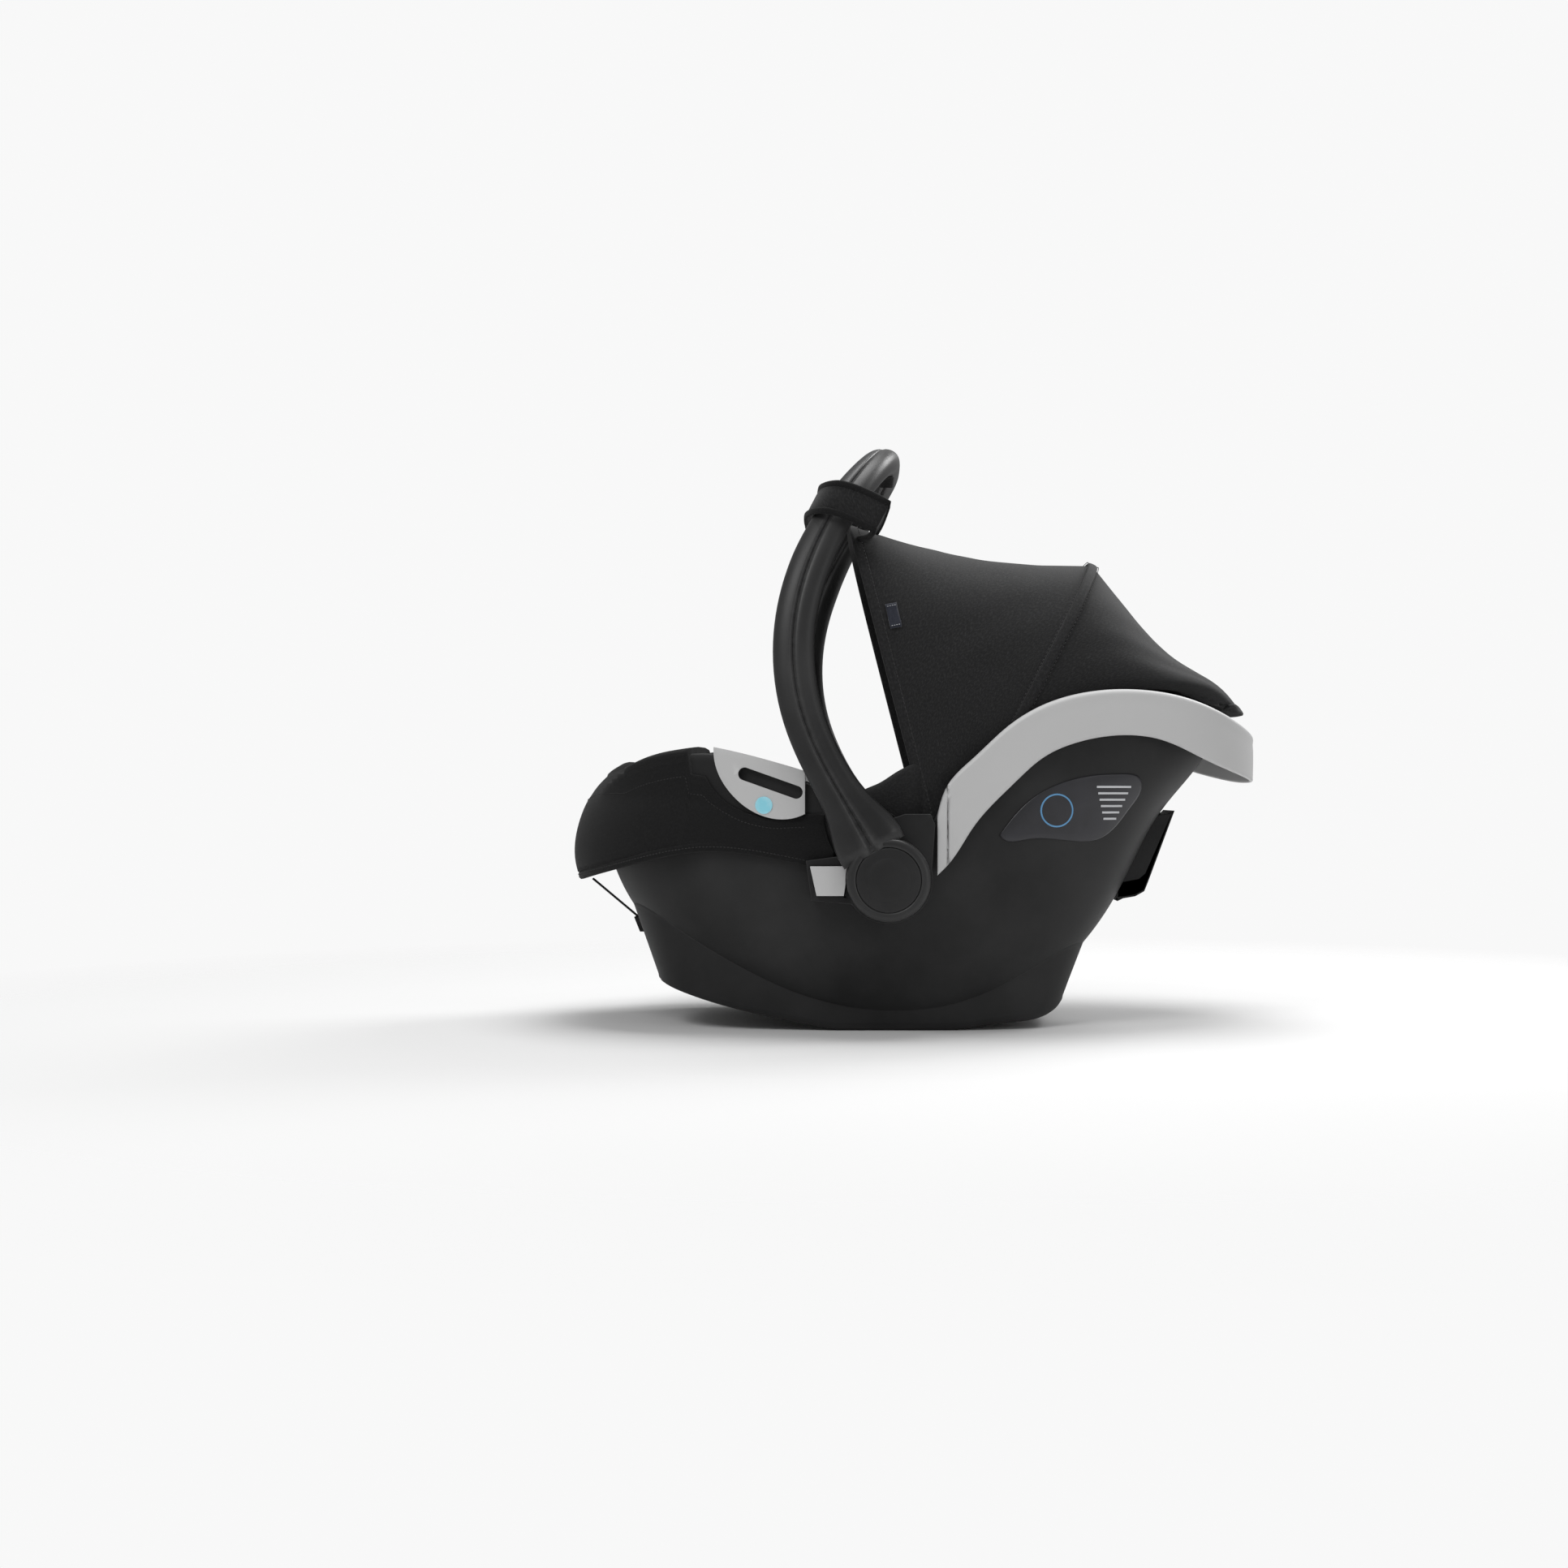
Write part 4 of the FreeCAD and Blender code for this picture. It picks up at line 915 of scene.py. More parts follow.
def build_foot_cover():
    """Padded cover over the foot end: rolled hem, skirt, soft top edge and an inside face."""
    start = math.pi - COVER_HALF_TURN
    angles = even_angles(149, -330, 300, COVER_HALF, TUB_SQUARE, start, 2 * math.pi - start)
    top, low, outer, tucked = cover_section(angles)
    rows = []
    hem = outer[0]
    ahead = unit(np.gradient(hem * (1, 1, 0), axis=0))
    normal = np.stack([-ahead[:, 1], ahead[:, 0], np.zeros(len(hem))], 1)
    normal *= np.sign(np.einsum("ij,ij->i", normal, hem - np.array([-10.0, 0, 0])))[:, None]
    inner_hem = hem - normal * 6.0
    rows += [inner_hem + (0, 0, 5.0), inner_hem + (0, 0, 0.5), hem - normal * 4.5 - (0, 0, 2.0)]
    rows += [hem - normal * 1.6 - (0, 0, 2.4), hem + normal * 0.4 - (0, 0, 0.6)]
    rows += [hem + normal * 0.9 + (0, 0, 2.4)]
    rows += [hem + normal * 0.6 + (0, 0, 5.0), hem - normal * 0.5 + (0, 0, 7.6)]
    for k, row in enumerate(outer[1:], 1):
        share = k / (len(outer) - 1)
        wave = np.array([bumpy(p, 70, 3.1) * 1.1 + bumpy(p, 26, 9.2) * 0.3 for p in row])
        puff = 0.9 * math.sin(math.pi * share) + wave * (0.3 + 0.7 * share)
        seam = -1.3 * math.exp(-((share - 0.83) / 0.018) ** 2)
        rows.append(row + normal * (puff + seam)[:, None])
    crest = rows[-1]
    depth = np.where(tucked, -1.0, 27.0)
    crown = np.where(tucked, 1.5, 5.0)
    inside = tub_point(angles, top, depth)
    for turn in (0.15, 0.3, 0.5, 0.7, 0.88):
        point = crest + (inside - crest) * (1 - math.cos(math.pi * turn)) / 2
        point[:, 2] += crown * math.sin(math.pi * turn)
        rows.append(point)
    for drop in (0, 12, 26, 42):
        rows.append(tub_point(angles, np.where(tucked, top - drop / 4, top - drop), depth))
    back = tub_point(angles, np.where(tucked, top - 12, top - 42), np.where(tucked, -0.8, 25.0))
    over = np.where(tucked, top - 14, np.minimum(top - 6, edge_level(angles, 10.0) + 4))
    rows += [back, tub_point(angles, over, np.where(tucked, -0.7, 12.0))]
    rows += [tub_point(angles, low + 20, -1.2)]
    cover = sheet_mesh("foot_cover", np.array(rows), ring=True)
    close_ends(cover, len(rows), len(angles))
    dressed(cover, "cover_fabric", stands_for=["front_cover"])
    for label, index, lift in (("hem_upper", 7, 0.35), ("hem_lower", 5, 0.3)):
        line = stitches(f"foot_cover_{label}_stitch", rows[index] + normal * lift, normal)
        dressed(line, "cover_fabric", finish="thread")
    share_row = 8 + int(0.83 * 21) - 1
    seam = stitches("foot_cover_seam_stitch", rows[share_row - 1][4:-4] + normal[4:-4] * 0.2, normal[4:-4])
    dressed(seam, "cover_fabric", finish="thread")


def build_tie():
    """Flat elastic tie from the cover's hem to the hook on the base."""
    a = np.array([-322.0, 0, 139.0])
    b = np.array([-276.6, 0, 101.0])
    path = np.array([a + (b - a) * s for s in np.linspace(0, 1, 24)])
    tie = swept("cover_tie_elastic", path, (0.64, 0, 0.77), flat_section(11.5, 1.4, 20, 5.0))
    dressed(tie, "webbing", stands_for=["cover_tie"])


# ---- canopy ----
def arches(rows, spread_rows):
    """Feet, tops and corner squareness of the fabric arches, evenly spread."""
    values = [(*foot, *top, square, arch_half(foot)) for foot, top, square in rows]
    knots = lengths_along(np.array([r[1] for r in rows], float))
    return smooth_through(knots, values)(np.linspace(0, knots[-1], spread_rows))


def arch_half(foot):
    return min(tub_half_at(foot[0], min(foot[1], 330), 10.0), FABRIC_HALF)


def arch_row(values, inset, steps=97):
    """Points of one fabric arch from its left foot to its right foot."""
    foot = np.array([values[0], 0, values[1]])
    top = np.array([values[2], 0, values[3]])
    run = top - foot
    rise = np.linalg.norm(run) - inset
    run = unit(run)
    square, half = values[4], values[5] - inset
    angle = even_angles(steps, -half, half, rise, square, math.pi, 0.0)
    y = half * power(np.cos(angle), 2 / square)
    up = rise * np.abs(np.sin(angle)) ** (2 / square)
    return foot + run * up[:, None] + np.stack([0 * y, y, 0 * y], 1)


def skin_normals(grid):
    along = np.gradient(grid, axis=1)
    down = np.gradient(grid, axis=0)
    normal = unit(np.cross(down, along))
    centre = np.array([60.0, 0, 250.0])
    return normal * np.sign(np.einsum("ijk,ijk->ij", normal, grid - centre))[:, :, None]


def two_layers(u, v):
    """Faces of two grids back to back, their places on the weave, and the pairs along the border."""
    rows, columns = u.shape
    size = rows * columns
    faces = []
    places = []
    for i in range(rows - 1):
        for j in range(columns - 1):
            a = i * columns + j
            b = a + 1
            c = b + columns
            d = a + columns
            corner = [(u[i, j], v[i]), (u[i, j + 1], v[i])]
            corner += [(u[i + 1, j + 1], v[i + 1]), (u[i + 1, j], v[i + 1])]
            faces += [(a, b, c, d), (d + size, c + size, b + size, a + size)]
            places += corner + corner[::-1]
    border = [(j, j + 1) for j in range(columns - 1)]
    border += [((i + 1) * columns - 1, (i + 2) * columns - 1) for i in range(rows - 1)]
    border += [((rows - 1) * columns + j + 1, (rows - 1) * columns + j) for j in range(columns - 1)]
    border += [((i + 1) * columns, i * columns) for i in range(rows - 1)]
    return faces, places, border


def double_sheet(name, grid, thick):
    """A closed cloth sheet: the grid outside, its lining inside and bound edges."""
    normal = skin_normals(grid)
    inner = grid - normal * thick
    rows, columns, _ = grid.shape
    points = np.vstack([grid.reshape(-1, 3), inner.reshape(-1, 3)])
    size = rows * columns
    u = np.array([lengths_along(r) for r in grid]) * MM
    v = np.concatenate([[0], np.cumsum(np.linalg.norm(np.diff(grid[:, columns // 3], axis=0), axis=1))]) * MM
    faces, places, border = two_layers(u, v)
    for a, b in border:
        faces.append((b, a, a + size, b + size))
        places += [(0, 0)] * 4
    return outward(mesh_piece(name, points, faces, places))


def fabric_grid(rows, count, sag, seed):
    """A stretched skin over its arches, with a little sag between them and tension creases."""
    values = arches(rows, count)
    grid = np.array([arch_row(v, 0.0) for v in values])
    normal = skin_normals(grid)
    shares = np.linspace(0, 1, count)
    columns = grid.shape[1]
    for i, share in enumerate(shares):
        bow = math.sin(math.pi * share)
        for j in range(columns):
            around = abs(j / (columns - 1) - 0.5) * 2
            crease = 0.9 * math.sin(around * 34 + 5 * share + seed) * math.exp(-((around - 0.62) / 0.18) ** 2)
            soft = 1.2 * bumpy(grid[i, j], 55, seed) + 0.35 * bumpy(grid[i, j], 18, seed + 4)
            grid[i, j] += normal[i, j] * bow * (soft + crease * 0.5 - sag * (0.4 + 0.6 * bow))
    return grid


def fold_with_bow(piece):
    """Gives a piece in front of the bow a mesh of its own."""
    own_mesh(piece)
    return piece


def bend_over_rim(piece):
    """Bakes the rear skin's placement into its mesh."""
    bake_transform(piece)
    return piece


def build_canopy(sizes):
    """Front skin with its binding and stitching, seam channel over the bow, and rear skin to the rim."""
    front = fabric_grid(FRONT_ARCHES, 40, sizes.canopy_sag / MM, 1.7)
    skin = double_sheet("canopy_front_skin", front, 1.6)
    dressed(skin, "canopy_fabric", "canopy_bow", ["canopy_front_panel"])
    normal = skin_normals(front)
    binding = swept(
        "canopy_front_binding", front[0] + unit(front[0] - front[1]) * 1.0 - normal[0] * 0.8, normal[0],
        flat_section(10.5, 3.6, 16, 3.0)
    )
    dressed(binding, "canopy_fabric", "canopy_bow")
    rear_edge = front[0] - unit(front[0] - front[2]) * 3.0 + normal[0] * 1.1
    row = stitches("canopy_front_stitch", rear_edge, normal[0], pitch=4.2, length=2.9)
    dressed(row, "canopy_fabric", "canopy_bow", finish="thread")
    rear = fabric_grid(REAR_ARCHES, 30, sizes.canopy_sag / MM * 0.6, 4.3)
    back = double_sheet("canopy_rear_skin", rear, 1.6)
    dressed(back, "canopy_fabric", None, ["canopy_rear_panel"])
    back_normal = skin_normals(rear)
    gathered = rear[-1] + back_normal[-1] * 0.3
    hem = swept("canopy_rear_elastic", gathered, back_normal[-1], flat_section(9, 3.0, 14, 3.0))
    dressed(hem, "canopy_fabric", "seat")
    over = arches(FRONT_ARCHES, 40)[-1]
    crown = arch_row(over, -0.6)
    top_normal = unit(normal[-1] + back_normal[0])
    channel = swept("canopy_bow_channel", crown, top_normal, flat_section(9.5, 3.2, 18, 2.4))
    dressed(channel, "canopy_fabric", "canopy_bow")
    for label, shift in (("front", 1), ("rear", -1)):
        _, side, _ = frames_on(crown, top_normal)
        beside = crown + side * 5.6 * shift + top_normal * 0.9
        line = stitches(f"canopy_bow_{label}_stitch", beside, top_normal, pitch=4.0)
        dressed(line, "canopy_fabric", "canopy_bow", finish="thread")
    for piece in (skin, binding, row):
        fold_with_bow(piece)
    bend_over_rim(back)
    return front, normal


def build_tag(front, normal):
    """Small woven side tag, plain, with a stitched hem at both ends."""
    j = int(np.argmin(np.abs(front[3, :40, 2] - 390.0)))
    base = front[3, j]
    down = unit(front[3, j - 2] - front[3, j + 2])
    out = normal[3, j]
    side = np.cross(out, down)
    grid = []
    for s in np.linspace(-12, 12, 9):
        row = []
        for t in np.linspace(-5.5, 5.5, 7):
            row.append(base + down * s + side * t + out * (1.6 + 0.35 * math.sin(0.3 * s + t)))
        grid.append(row)
    tag = double_sheet("canopy_side_tag", np.array(grid), 0.8)
    dressed(tag, "tag_navy", "canopy_bow", ["canopy_tag"])
    fold_with_bow(tag)
    bars = []
    for end, s in (("high", -9.5), ("low", 9.5)):
        path = np.array([base + down * s + side * t + out * 2.1 for t in np.linspace(-4.6, 4.6, 12)])
        bar = stitches(f"canopy_tag_stitch_{end}", path, out, 2.2, 1.5, 0.25)
        bars.append(dressed(bar, "tag_navy", "canopy_bow", finish="pale_print"))
    for bar in bars:
        fold_with_bow(bar)


def strap_row(share):
    """One line of the handle strap, low at share 0 and high at 1, from canopy corner to canopy corner."""
    back, ahead = -40.0, -106.0
    half = ARM_CENTRE - 23.0
    angle = even_angles(121, ahead, 2 * back - ahead, half, 6.0, math.pi / 2, 3 * math.pi / 2)
    x, y = oval(angle, ahead, 2 * back - ahead, half, 6.0)
    swell = 1.2 * math.sin(math.pi * share)
    low, high = 487.0, 512.0
    row = []
    for px, py in zip(x, y):
        out = unit(np.array([px - back, py * 0.6]))
        wave = 0.7 * bumpy((px, py, 40 * share), 22, 2.2) + swell
        drop = 19.0 * max(0.0, (px + 88) / 48) ** 1.4
        row.append((px + 13 * share + out[0] * wave, py + out[1] * wave, low + (high - low) * share - drop))
    corner = np.array([-55.0 + 17.0 * share, 130.0 - 16.0 * share, 465.5 + 8.0 * share])
    knee = np.array([-44.0 + 13.0 * share, 164.0, 465.0 + 18.0 * share])
    ends = []
    for sign, end in ((-1, np.array(row[-1])), (1, np.array(row[0]))):
        turn = even_curve(np.array([end, knee * (1, sign, 1), corner * (1, sign, 1)]), 12)
        ends.append(turn[1:])
    return np.vstack([ends[1][::-1], row, ends[0]])


def build_loop():
    """Fabric strap of the canopy round the front of the handle, bound along both edges."""
    grid = np.array([strap_row(share) for share in np.linspace(0, 1, 12)])
    strap = double_sheet("canopy_handle_strap", grid, 1.4)
    dressed(strap, "canopy_fabric", "canopy_bow", ["canopy_handle_loop"])
    pieces = [strap]
    for label, index in (("lower", 0), ("upper", -1)):
        path = grid[index]
        out = unit((path - np.array([-40.0, 0, path[60][2]])) * (1, 0.6, 0))
        edge = swept(f"canopy_strap_{label}_binding", path + out * 0.2, out, flat_section(6.0, 3.0, 12, 3.0))
        pieces.append(dressed(edge, "canopy_fabric", "canopy_bow", finish="cover_fabric"))
    for piece in pieces:
        fold_with_bow(piece)


# ---- inside ----
WING_TOP = ((-64, 219), (-48, 229), (-34, 235), (-15, 247), (5, 256), (25, 259), (42, 257))
wing_top = height_along(WING_TOP)


def build_liner():
    """Seat liner: padded wall with a rolled top edge, stitched channels and a flat floor."""
    angles = TUB_ANGLES
    top = edge_level(angles, 14.0, 7.0)
    rows = [tub_point(angles, top - 26, 5.2), tub_point(angles, top - 8, 5.2)]
    outer = tub_point(angles, top - 6, 5.6)
    inner = tub_point(angles, top - 6, 25.0)
    for turn in np.linspace(0.08, 0.92, 9):
        point = outer + (inner - outer) * (1 - math.cos(math.pi * turn)) / 2
        point[:, 2] += 6.5 * math.sin(math.pi * turn)
        rows.append(point)
    channels = np.cos(angles * 9) ** 2
    for share in np.linspace(1, 0, 34) ** 1.1:
        level = 12 + (top - 8 - 12) * share
        groove = 1.6 * np.exp(-((1 - channels) / 0.02) ** 2) * math.sin(math.pi * min(share * 1.2, 1))
        seam = 1.5 * math.exp(-((share - 0.86) / 0.02) ** 2)
        puff = 1.5 * math.sin(math.pi * share)
        wave = np.array([bumpy(p, 45, 6.0) for p in tub_point(angles, level, 25.0)]) * 0.8
        rows.append(tub_point(angles, level, 25.0 + puff + wave - groove - seam))
    liner = sheet_mesh("seat_liner_cloth", np.array(rows), loop=True, cap_high=True)
    liner = outward(liner)
    dressed(liner, "liner_fabric", stands_for=["seat_liner"])
    line = rows[11 + 5]
    inward = unit((np.array([0, 0, 230.0]) - line) * (1, 1, 0))
    closed = np.vstack([line, line[:1]])
    facing = np.vstack([inward, inward[:1]])
    seam_row = stitches("seat_liner_stitch", closed + facing * 0.6, facing, 4.0)
    dressed(seam_row, "liner_fabric", finish="thread")


def build_wings():
    """Padded side wings of the liner, from the foot cover up to the canopy, piped along the tub's edge."""
    for name, side in SIDES:
        columns = np.linspace(-64, 40, 40)
        section = []
        for x in columns:
            tuck = 1 / (1 + math.exp(-(x + 2) / 3.0))
            out = 2.0 + 12.0 * tuck
            low = float(top_of_tub(np.array([x]))[0]) + (1.0 if x < 10 else -6.0)
            high = max(float(wing_top(x)), low + 8)
            inner = 23.5
            ring = []
            for share in (0.0, 0.12, 0.35, 0.6, 0.8):
                z = low + (high - 7 - low) * share
                puff = 1.8 * math.sin(math.pi * (share * 0.8 + 0.1))
                ring.append((out - puff + 2.2 * math.exp(-share * 9) - 0.6 * bumpy((x, 0, z), 22, 5.0), z))
            for turn in np.linspace(0.1, 0.9, 7):
                over = (1 - math.cos(math.pi * turn)) / 2
                ring.append((out + (inner - out) * over, high - 7 + 7 * math.sin(math.pi * turn)))
            for share in (1.0, 0.7, 0.4, 0.1):
                z = low - 12 + (high - 7 - low + 12) * share
                ring.append((inner + 2.2 * math.sin(math.pi * share), z))
            ring.append((out + 6, low - 6))
            section.append([(x, side * tub_half_at(x, z, inward), z) for inward, z in ring])
        grid = np.array(section)
        wing = outward(sheet_mesh(f"liner_wing_{name}_pad", grid, loop=True, cap_low=True, cap_high=True))
        dressed(wing, "liner_fabric", stands_for=[n for n in (f"liner_wing_{name}",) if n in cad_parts])
        xs = np.linspace(-63, 8, 50)
        levels = [float(edge_height(x)) for x in xs]
        path = np.array([(x, side * tub_half_at(x, z + 1, 0.8), z + 1.6) for x, z in zip(xs, levels)])
        piping = swept(f"liner_wing_{name}_piping", path, (0, side, 0), round_section(1.7, 10))
        dressed(piping, "liner_fabric")
        line = path + np.array([0, side * 1.2, 5.5])
        dressed(stitches(f"liner_wing_{name}_stitch", line, (0, side, 0)), "liner_fabric", finish="thread")


seat_fine = even_curve(SEAT_LINE, 600)
SEAT_RUN = lengths_along(seat_fine)[-1]


def seat_frame(share):
    """Place, direction and upward normal on the seat line at a share of its length."""
    i = np.clip(np.asarray(share, float), 0, 1) * 599
    flat = np.stack([np.interp(i, np.arange(600), seat_fine[:, k]) for k in (0, 1)], -1)
    slope = np.gradient(seat_fine, axis=0)
    tangent = unit(np.stack([np.interp(i, np.arange(600), slope[:, k]) for k in (0, 1)], -1))
    place = np.stack([flat[..., 0], 0 * flat[..., 0], flat[..., 1]], -1)
    ahead = np.stack([tangent[..., 0], 0 * tangent[..., 0], tangent[..., 1]], -1)
    normal = np.stack([-tangent[..., 1], 0 * tangent[..., 0], tangent[..., 0]], -1)
    return place, ahead, normal


def swell(piece, cap, pinned, pressure=4.0, frames=20):
    """Inflates a stuffed piece a little with a cloth simulation, holding its seams, then keeps the result."""
    scene = bpy.context.scene
    rest = np.array([v.co for v in piece.data.vertices])
    group = piece.vertex_groups.new(name="seams")
    group.add([int(i) for i in pinned], 1.0, "REPLACE")
    cloth = piece.modifiers.new("stuffing", "CLOTH")
    setting = cloth.settings
    setting.quality = 5
    setting.mass = 0.2
    setting.tension_stiffness = 12
    setting.compression_stiffness = 12
    setting.bending_stiffness = 0.6
    setting.use_pressure = True
    setting.uniform_pressure_force = pressure
    setting.effector_weights.gravity = 0
    setting.vertex_group_mass = "seams"
    cloth.collision_settings.use_self_collision = False
    cloth.point_cache.frame_start = 1
    cloth.point_cache.frame_end = frames
    for step in range(1, frames + 1):
        scene.frame_set(step)
    settled = piece.evaluated_get(bpy.context.evaluated_depsgraph_get())
    moved = np.array([v.co for v in settled.data.vertices])
    piece.modifiers.remove(cloth)
    scene.frame_set(1)
    shift = moved - rest
    size = np.linalg.norm(shift, axis=1, keepdims=True)
    shift *= np.minimum(1, cap * MM / np.maximum(size, 1e-9))
    piece.data.vertices.foreach_set("co", (rest + shift).ravel())
    piece.data.update()
    return piece


def insert_edge(share):
    """Half width of the insert along the seat line: wide at the head, waisted at the hips."""
    return float(smooth_through((0, 0.18, 0.4, 0.55, 0.75, 0.9, 1.0), (78, 88, 92, 82, 92, 94, 80))(share)[0])


def build_insert():
    """Stuffed insert with raised side bolsters, a bound edge and sewn channels."""
    rows = []
    seams = []
    long, wide = 64, 45
    along = np.linspace(0.015, 0.985, long)
    across = np.linspace(-1, 1, wide)
    under = []
    for i, share in enumerate(along):
        place, _, normal = seat_frame(share)
        half = insert_edge(share) * (1 - 0.4 * max(0.0, 1 - min(share, 1 - share) / 0.085) ** 2.2)
        row = []
        low_row = []
        for j, t in enumerate(across):
            y = half * math.copysign(abs(t) ** 0.92, t)
            bolster = 11.0 * math.exp(-((abs(t) - 0.78) / 0.15) ** 2)
            edge = -9.0 * max(0, (abs(t) - 0.86) / 0.14) ** 2
            end = -7.0 * math.exp(-min(share - 0.015, 0.985 - share) / 0.012)
            crown = 2.5 * (1 - t * t)
            row.append(place + normal * (bolster + edge + end + crown - 3.0) + np.array([0, y, 0]))
            if abs(abs(t) - 0.55) < 0.025 or (abs(t) < 0.55 and i % 12 == 6):
                seams.append(i * wide + j)
            if j in (0, wide - 1) or i in (0, long - 1):
                seams.append(i * wide + j)
            low_row.append(place - normal * 9.0 + np.array([0, y, 0]))
        rows.append(row)
        under.append(low_row)
    top = np.array(rows)
    size = top.shape[0] * top.shape[1]
    skin = double_shell("newborn_insert_pad", top, np.array(under))
    pinned = seams + list(range(size, 2 * size))
    swell(skin, 7.0, pinned)
    for v in pinned:
        if 0 < v % wide < wide - 1 and wide <= v < size - wide:
            skin.data.vertices[v].co -= Vector(seat_frame(along[v // wide])[2] * 1.8 * MM)
    smooth = skin.modifiers.new("smooth", "SUBSURF")
    smooth.levels = 1
    smooth.render_levels = 1
    dressed(skin, "insert_fabric", stands_for=["newborn_insert"])
    edge = [top[i, 0] for i in range(long)] + [top[-1, j] for j in range(1, wide)]
    edge += [top[i, -1] for i in range(long - 2, -1, -1)] + [top[0, j] for j in range(wide - 2, 0, -1)]
    edge = np.array(edge) - np.array([0, 0, 1.0])
    piping = swept("newborn_insert_piping", edge, (0, 0, 1), round_section(1.9, 10), True)
    dressed(piping, "insert_fabric", finish="cover_fabric")


def double_shell(name, upper, lower):
    """A closed stuffed form between an upper and a lower grid of the same size."""
    rows, columns, _ = upper.shape
    size = rows * columns
    points = np.vstack([upper.reshape(-1, 3), lower.reshape(-1, 3)])
    u = (upper[:, :, 1] - upper[:, :1, 1]) * MM
    v = np.concatenate([[0], np.cumsum(np.linalg.norm(np.diff(upper[:, columns // 2], axis=0), axis=1))]) * MM
    faces, places, border = two_layers(u, v)
    for a, b in border:
        faces.append((b, a, a + size, b + size))
        places += [(points[k][0] * MM, points[k][2] * MM) for k in (b, a)] * 2
    return outward(mesh_piece(name, points, faces, places))


def build_headrest():
    """Horseshoe head support round the head end of the insert."""
    spans, sides, sweep = 61, 20, 0.62
    angles = even_angles(spans, -290, 270, 140, TUB_SQUARE, -sweep, sweep)
    rows = []
    for k in range(sides):
        turn = 2 * math.pi * k / sides
        inward = 38.5 - 11.0 * math.cos(turn)
        rise = 20.0 * power(math.sin(turn), 0.85)
        x_rows = tub_point(angles, np.full(len(angles), 262.0), inward)
        droop = np.interp(np.abs(angles), (0, sweep), (4.0, -16.0))
        puckers = 0.8 * np.cos(np.linspace(0, 1, len(angles)) * 2 * math.pi * 9)
        ends = 1 - 0.55 * np.exp(-np.minimum(angles + sweep, sweep - angles) / 0.035)
        x_rows[:, 2] += droop + (rise + puckers * abs(math.sin(turn))) * ends
        rows.append(x_rows)
    grid = np.array(rows)
    pad = sheet_mesh("headrest_bolster", grid.transpose(1, 0, 2), loop=True, cap_low=True, cap_high=True)
    pad = outward(pad)
    seams = [i * sides + k for i in range(spans) for k in (0, sides // 2) if i % 7 == 3]
    tips = list(range(sides)) + list(range((spans - 1) * sides, spans * sides + 2))
    swell(pad, 5.0, seams + tips)
    smooth = pad.modifiers.new("smooth", "SUBSURF")
    smooth.levels = 1
    smooth.render_levels = 1
    dressed(pad, "insert_fabric", stands_for=["headrest_pad"])
    crest = grid[5] + np.array([0, 0, 0.8])
    piping = swept("headrest_piping", crest, (0, 0, 1), round_section(1.6, 8))
    dressed(piping, "insert_fabric", finish="cover_fabric")


def strap_path(start, end, rise, y, count=40):
    place, _, normal = seat_frame(np.linspace(start, end, count))
    if np.ndim(rise) == 0:
        rise = np.full(count, rise)
    return place + normal * rise[:, None] + np.array([0, y, 0]), normal


def soft_pad(name, start, end, rise, y, width, thick, corner=0.25):
    """A flat stuffed pad with round corners on the seat line."""
    along = np.linspace(0, 1, 34)
    across = np.linspace(-1, 1, 19)
    place, _, normal = seat_frame(start + (end - start) * along)
    upper = []
    lower = []
    for i, s in enumerate(along):
        near = min(s, 1 - s)
        narrow = 1 - 0.45 * max(0, 1 - near / corner * 2.2) ** 2.6
        top_row = []
        low_row = []
        for t in across:
            round_off = (1 - abs(t) ** 5) * (1 - max(0, 1 - near * 18) ** 2)
            quilt = -0.9 * math.exp(-((abs(t) - 0.72) / 0.07) ** 2) if 0.08 < s < 0.92 else 0
            p = place[i] + np.array([0, y + t * width / 2 * narrow, 0])
            top_row.append(p + normal[i] * (rise + thick * (0.35 + 0.75 * round_off) + quilt))
            low_row.append(p + normal[i] * (rise + thick * 0.12))
        upper.append(top_row)
        lower.append(low_row)
    return double_shell(name, np.array(upper), np.array(lower)), np.array(upper)


def build_harness():
    """Shoulder and crotch webbing with their pads."""
    for name, side in SIDES:
        y = side * (14 + 12.5)
        rise = np.interp(np.linspace(0, 1, 46), (0, 0.12, 0.3, 0.8, 0.95, 1), (11, 9.5, 6.5, 6.5, 4.5, 1.0))
        path, up = strap_path(0.585, 0.945, rise, y, 46)
        path[:, 1] += side * np.interp(np.linspace(0, 1, 46), (0, 0.25, 1), (-4, 0, 2))
        strap = swept(f"shoulder_strap_{name}_webbing", path, up, flat_section(25, 1.5, 18, 8))
        dressed(strap, "webbing", stands_for=[f"shoulder_strap_{name}"])
        pad, upper = soft_pad(f"shoulder_pad_{name}_soft", 0.69, 0.90, 7.6, y + side * 2, 44, 8.5)
        dressed(pad, "liner_fabric", stands_for=[f"shoulder_pad_{name}"])
        for edge, column in (("inner", 3), ("outer", 15)):
            line = upper[4:-4, column] + np.array([-0.3, 0, 0.5])
            facing = strap_path(0.72, 0.87, 0, 0, 26)[1]
            row = stitches(f"shoulder_pad_{name}_{edge}_stitch", line, facing, 3.6)
            dressed(row, "liner_fabric", finish="thread")
    path, up = strap_path(0.315, 0.463, np.interp(np.linspace(0, 1, 30), (0, 0.2, 1), (0.5, 3.5, 8.0)), 0, 30)
    dressed(swept("crotch_strap_webbing", path, up, flat_section(25, 1.5, 18, 8)), "webbing",
            stands_for=["crotch_strap"])
    pad, upper = soft_pad("crotch_pad_soft", 0.325, 0.445, 5.0, 0, 58, 9.0, 0.4)
    dressed(pad, "liner_fabric", stands_for=["crotch_pad"])


